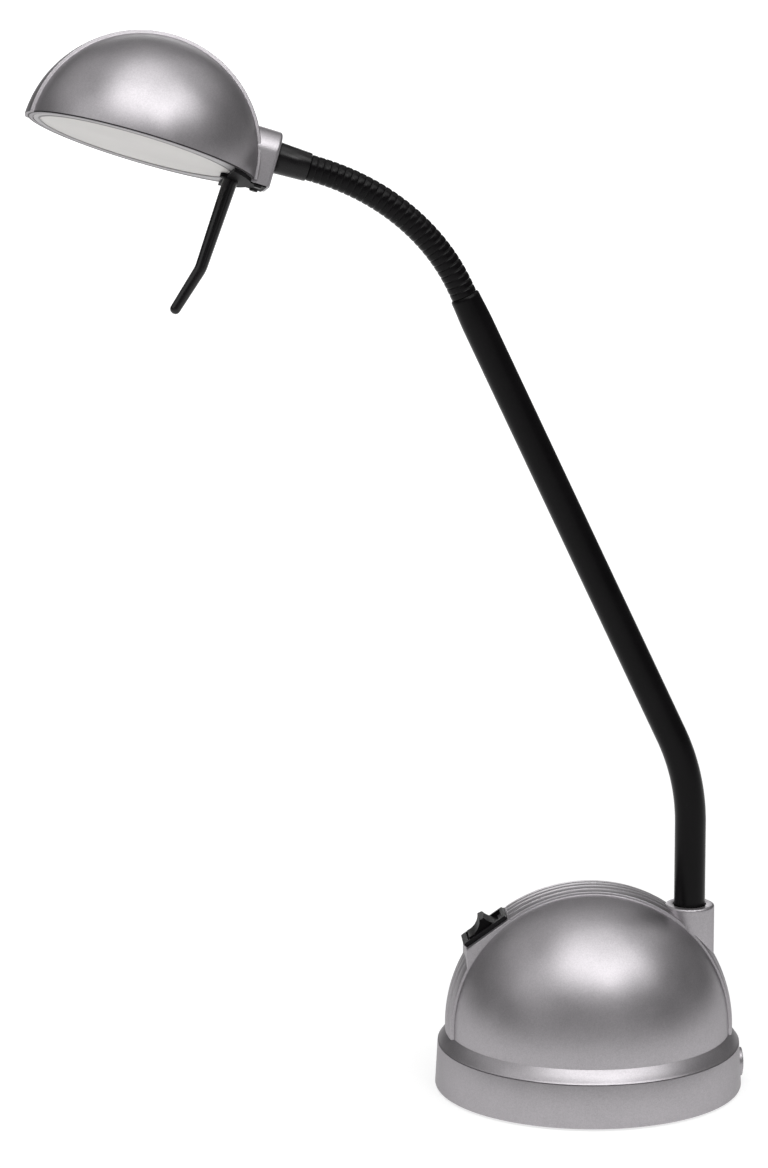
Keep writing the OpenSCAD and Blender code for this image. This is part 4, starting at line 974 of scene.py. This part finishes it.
studio = {
    "floor": 0.8, "floorSeen": 0.4, "glowNear": 0.7, "glowFar": 0.98, "glowStart": 0.25,
    "glowEnd": 1.6, "world": 0.12, "floorHalf": 9.0, "sweepStart": 4.2, "sweepLift": 0.002,
    "sweepRadius": 1.2, "sweepSteps": 12, "sweepTop": 3.2, "sweepMiddle": 0.2, "sweepHalf": 1.4,
    "laneMiddle": -0.087, "laneTurn": 0.0612, "laneHalf": 0.25, "laneSpread": 0.066,
    "laneFade": 1.5, "sideGlow": 0.5, "laneFront": -0.3, "frontFade": 0.7,
}
lamps = {
    "over": {"azimuth": 10.0, "height": 74.0, "far": 3.0, "size": 3.4, "watts": 39.0},
    "overBack": {"azimuth": 180.0, "height": 76.0, "far": 3.0, "size": 2.2, "watts": 6.0},
    "key": {"azimuth": 24.0, "height": 48.0, "far": 2.2, "size": 0.6, "watts": 5.2},
    "brow": {"azimuth": -20.0, "height": 60.0, "far": 2.4, "size": 1.6, "watts": 10.8},
    "left": {"azimuth": -62.0, "height": 38.0, "far": 2.6, "size": 1.8, "watts": 6.2},
    "side": {"azimuth": -88.0, "height": 36.0, "far": 2.6, "size": 1.6, "watts": 2.2},
    "right": {"azimuth": 62.0, "height": 50.0, "far": 2.6, "size": 1.3, "watts": 9.4},
    "front": {"azimuth": -8.0, "height": 8.0, "far": 3.6, "size": 1.6, "watts": 2.0},
    "frontLeft": {"azimuth": -40.0, "height": 10.0, "far": 3.2, "size": 1.4, "watts": 1.3},
    "frontRight": {"azimuth": 25.0, "height": 8.0, "far": 3.6, "size": 1.6, "watts": 1.9},
    "backLeft": {"azimuth": -125.0, "height": 45.0, "far": 2.8, "size": 1.8, "watts": 3.7},
    "backRight": {"azimuth": 125.0, "height": 50.0, "far": 2.8, "size": 1.8, "watts": 4.2},
    "rear": {"azimuth": 180.0, "height": 9.0, "far": 3.6, "size": 1.3, "watts": 10.9},
}


# A stage piece of flat strips along a line of (far, high) points.
def stagePiece(name, line, left, right, material):
    points = [(side, y, z) for y, z in line for side in (left, right)]
    mesh = bpy.data.meshes.new(name)
    mesh.from_pydata(points, [], [(2 * i, 2 * i + 1, 2 * i + 3, 2 * i + 2) for i in range(len(line) - 1)])
    mesh.shade_smooth()
    mesh.materials.append(material)
    piece = bpy.data.objects.new(name, mesh)
    scene.collection.objects.link(piece)
    return piece


# Matt white that glows a little for the camera and for mirrors, more so far from the lamp.
def floorFinish():
    paint = bpy.data.materials.new("floorPaint")
    paint.use_nodes = True
    t = NodeTable(paint.node_tree)
    t.tree.nodes.remove(t.tree.nodes["Principled BSDF"])
    ray = t.add("ShaderNodeLightPath")
    seen = t.math("MAXIMUM", ray.outputs["Is Camera Ray"], ray.outputs["Is Glossy Ray"])
    seen = t.math("MAXIMUM", seen, ray.outputs["Is Transmission Ray"])
    spot = t.add("ShaderNodeTexCoord").outputs["Object"]
    away = t.add("ShaderNodeVectorMath", {"operation": "LENGTH"}, i0=spot).outputs["Value"]
    level = t.ramp(away, studio["glowStart"], studio["glowEnd"],
                   studio["glowNear"], studio["glowFar"], smooth=True)
    apart = t.add("ShaderNodeSeparateXYZ", Vector=spot).outputs
    middle = t.math("ADD", t.math("MULTIPLY", apart["Y"], studio["laneTurn"]), studio["laneMiddle"])
    edge = t.math("ADD", t.math("MULTIPLY", apart["Y"], studio["laneSpread"]), studio["laneHalf"])
    past = t.math("SUBTRACT", t.math("ABSOLUTE", t.math("SUBTRACT", apart["X"], middle)), edge)
    side = t.ramp(past, 0.0, studio["laneFade"], 1.0, 0.0, smooth=True)
    frontStart = studio["laneFront"] - studio["frontFade"]
    front = t.ramp(apart["Y"], frontStart, studio["laneFront"], smooth=True)
    lane = spread(t, t.math("MULTIPLY", side, front), studio["sideGlow"], 1.0)
    level = t.math("MULTIPLY", level, lane)
    glow = t.add("ShaderNodeEmission", Strength=t.math("MULTIPLY", seen, level))
    tone = blendBetween(t, seen, (studio["floor"],) * 3, (studio["floorSeen"],) * 3, 0.0, 1.0)
    matt = t.add("ShaderNodeBsdfDiffuse", Color=tone)
    both = t.add("ShaderNodeAddShader", i0=glow.outputs[0], i1=matt.outputs[0])
    t.tree.links.new(both.outputs[0], t.tree.nodes["Material Output"].inputs[0])
    return paint


floorPaint = floorFinish()
floor = stagePiece("floor", [(-studio["floorHalf"], 0.0), (studio["floorHalf"], 0.0)],
                   -studio["floorHalf"], studio["floorHalf"], floorPaint)
sweepLine = [(studio["sweepStart"], studio["sweepLift"])]
for k in range(1, studio["sweepSteps"] + 1):
    turn = math.pi / 2 * k / studio["sweepSteps"]
    sweepLine.append((studio["sweepStart"] + studio["sweepRadius"] * math.sin(turn),
                      studio["sweepRadius"] * (1 - math.cos(turn))))
sweepLine.append((sweepLine[-1][0], studio["sweepTop"]))
backdrop = stagePiece("backdrop", sweepLine, studio["sweepMiddle"] - studio["sweepHalf"],
                      studio["sweepMiddle"] + studio["sweepHalf"], floorPaint)

world = bpy.data.worlds.new("studio")
world.use_nodes = True
world.node_tree.nodes["Background"].inputs[0].default_value = (1, 1, 1, 1)
world.node_tree.nodes["Background"].inputs[1].default_value = studio["world"]
scene.world = world

aim = Vector((-0.06, 0, 0.2))
for name, lamp in lamps.items():
    data = bpy.data.lights.new(name, "AREA")
    data.shape = "DISK"
    data.size = lamp["size"]
    data.energy = lamp["watts"]
    light = bpy.data.objects.new(name, data)
    scene.collection.objects.link(light)
    azimuth, height = math.radians(lamp["azimuth"]), math.radians(lamp["height"])
    level = math.cos(height)
    way = Vector((math.sin(azimuth) * level, -math.cos(azimuth) * level, math.sin(height)))
    light.location = aim + way * lamp["far"]
    light.rotation_euler = (-way).to_track_quat("-Z", "Y").to_euler()
print("studio lit")
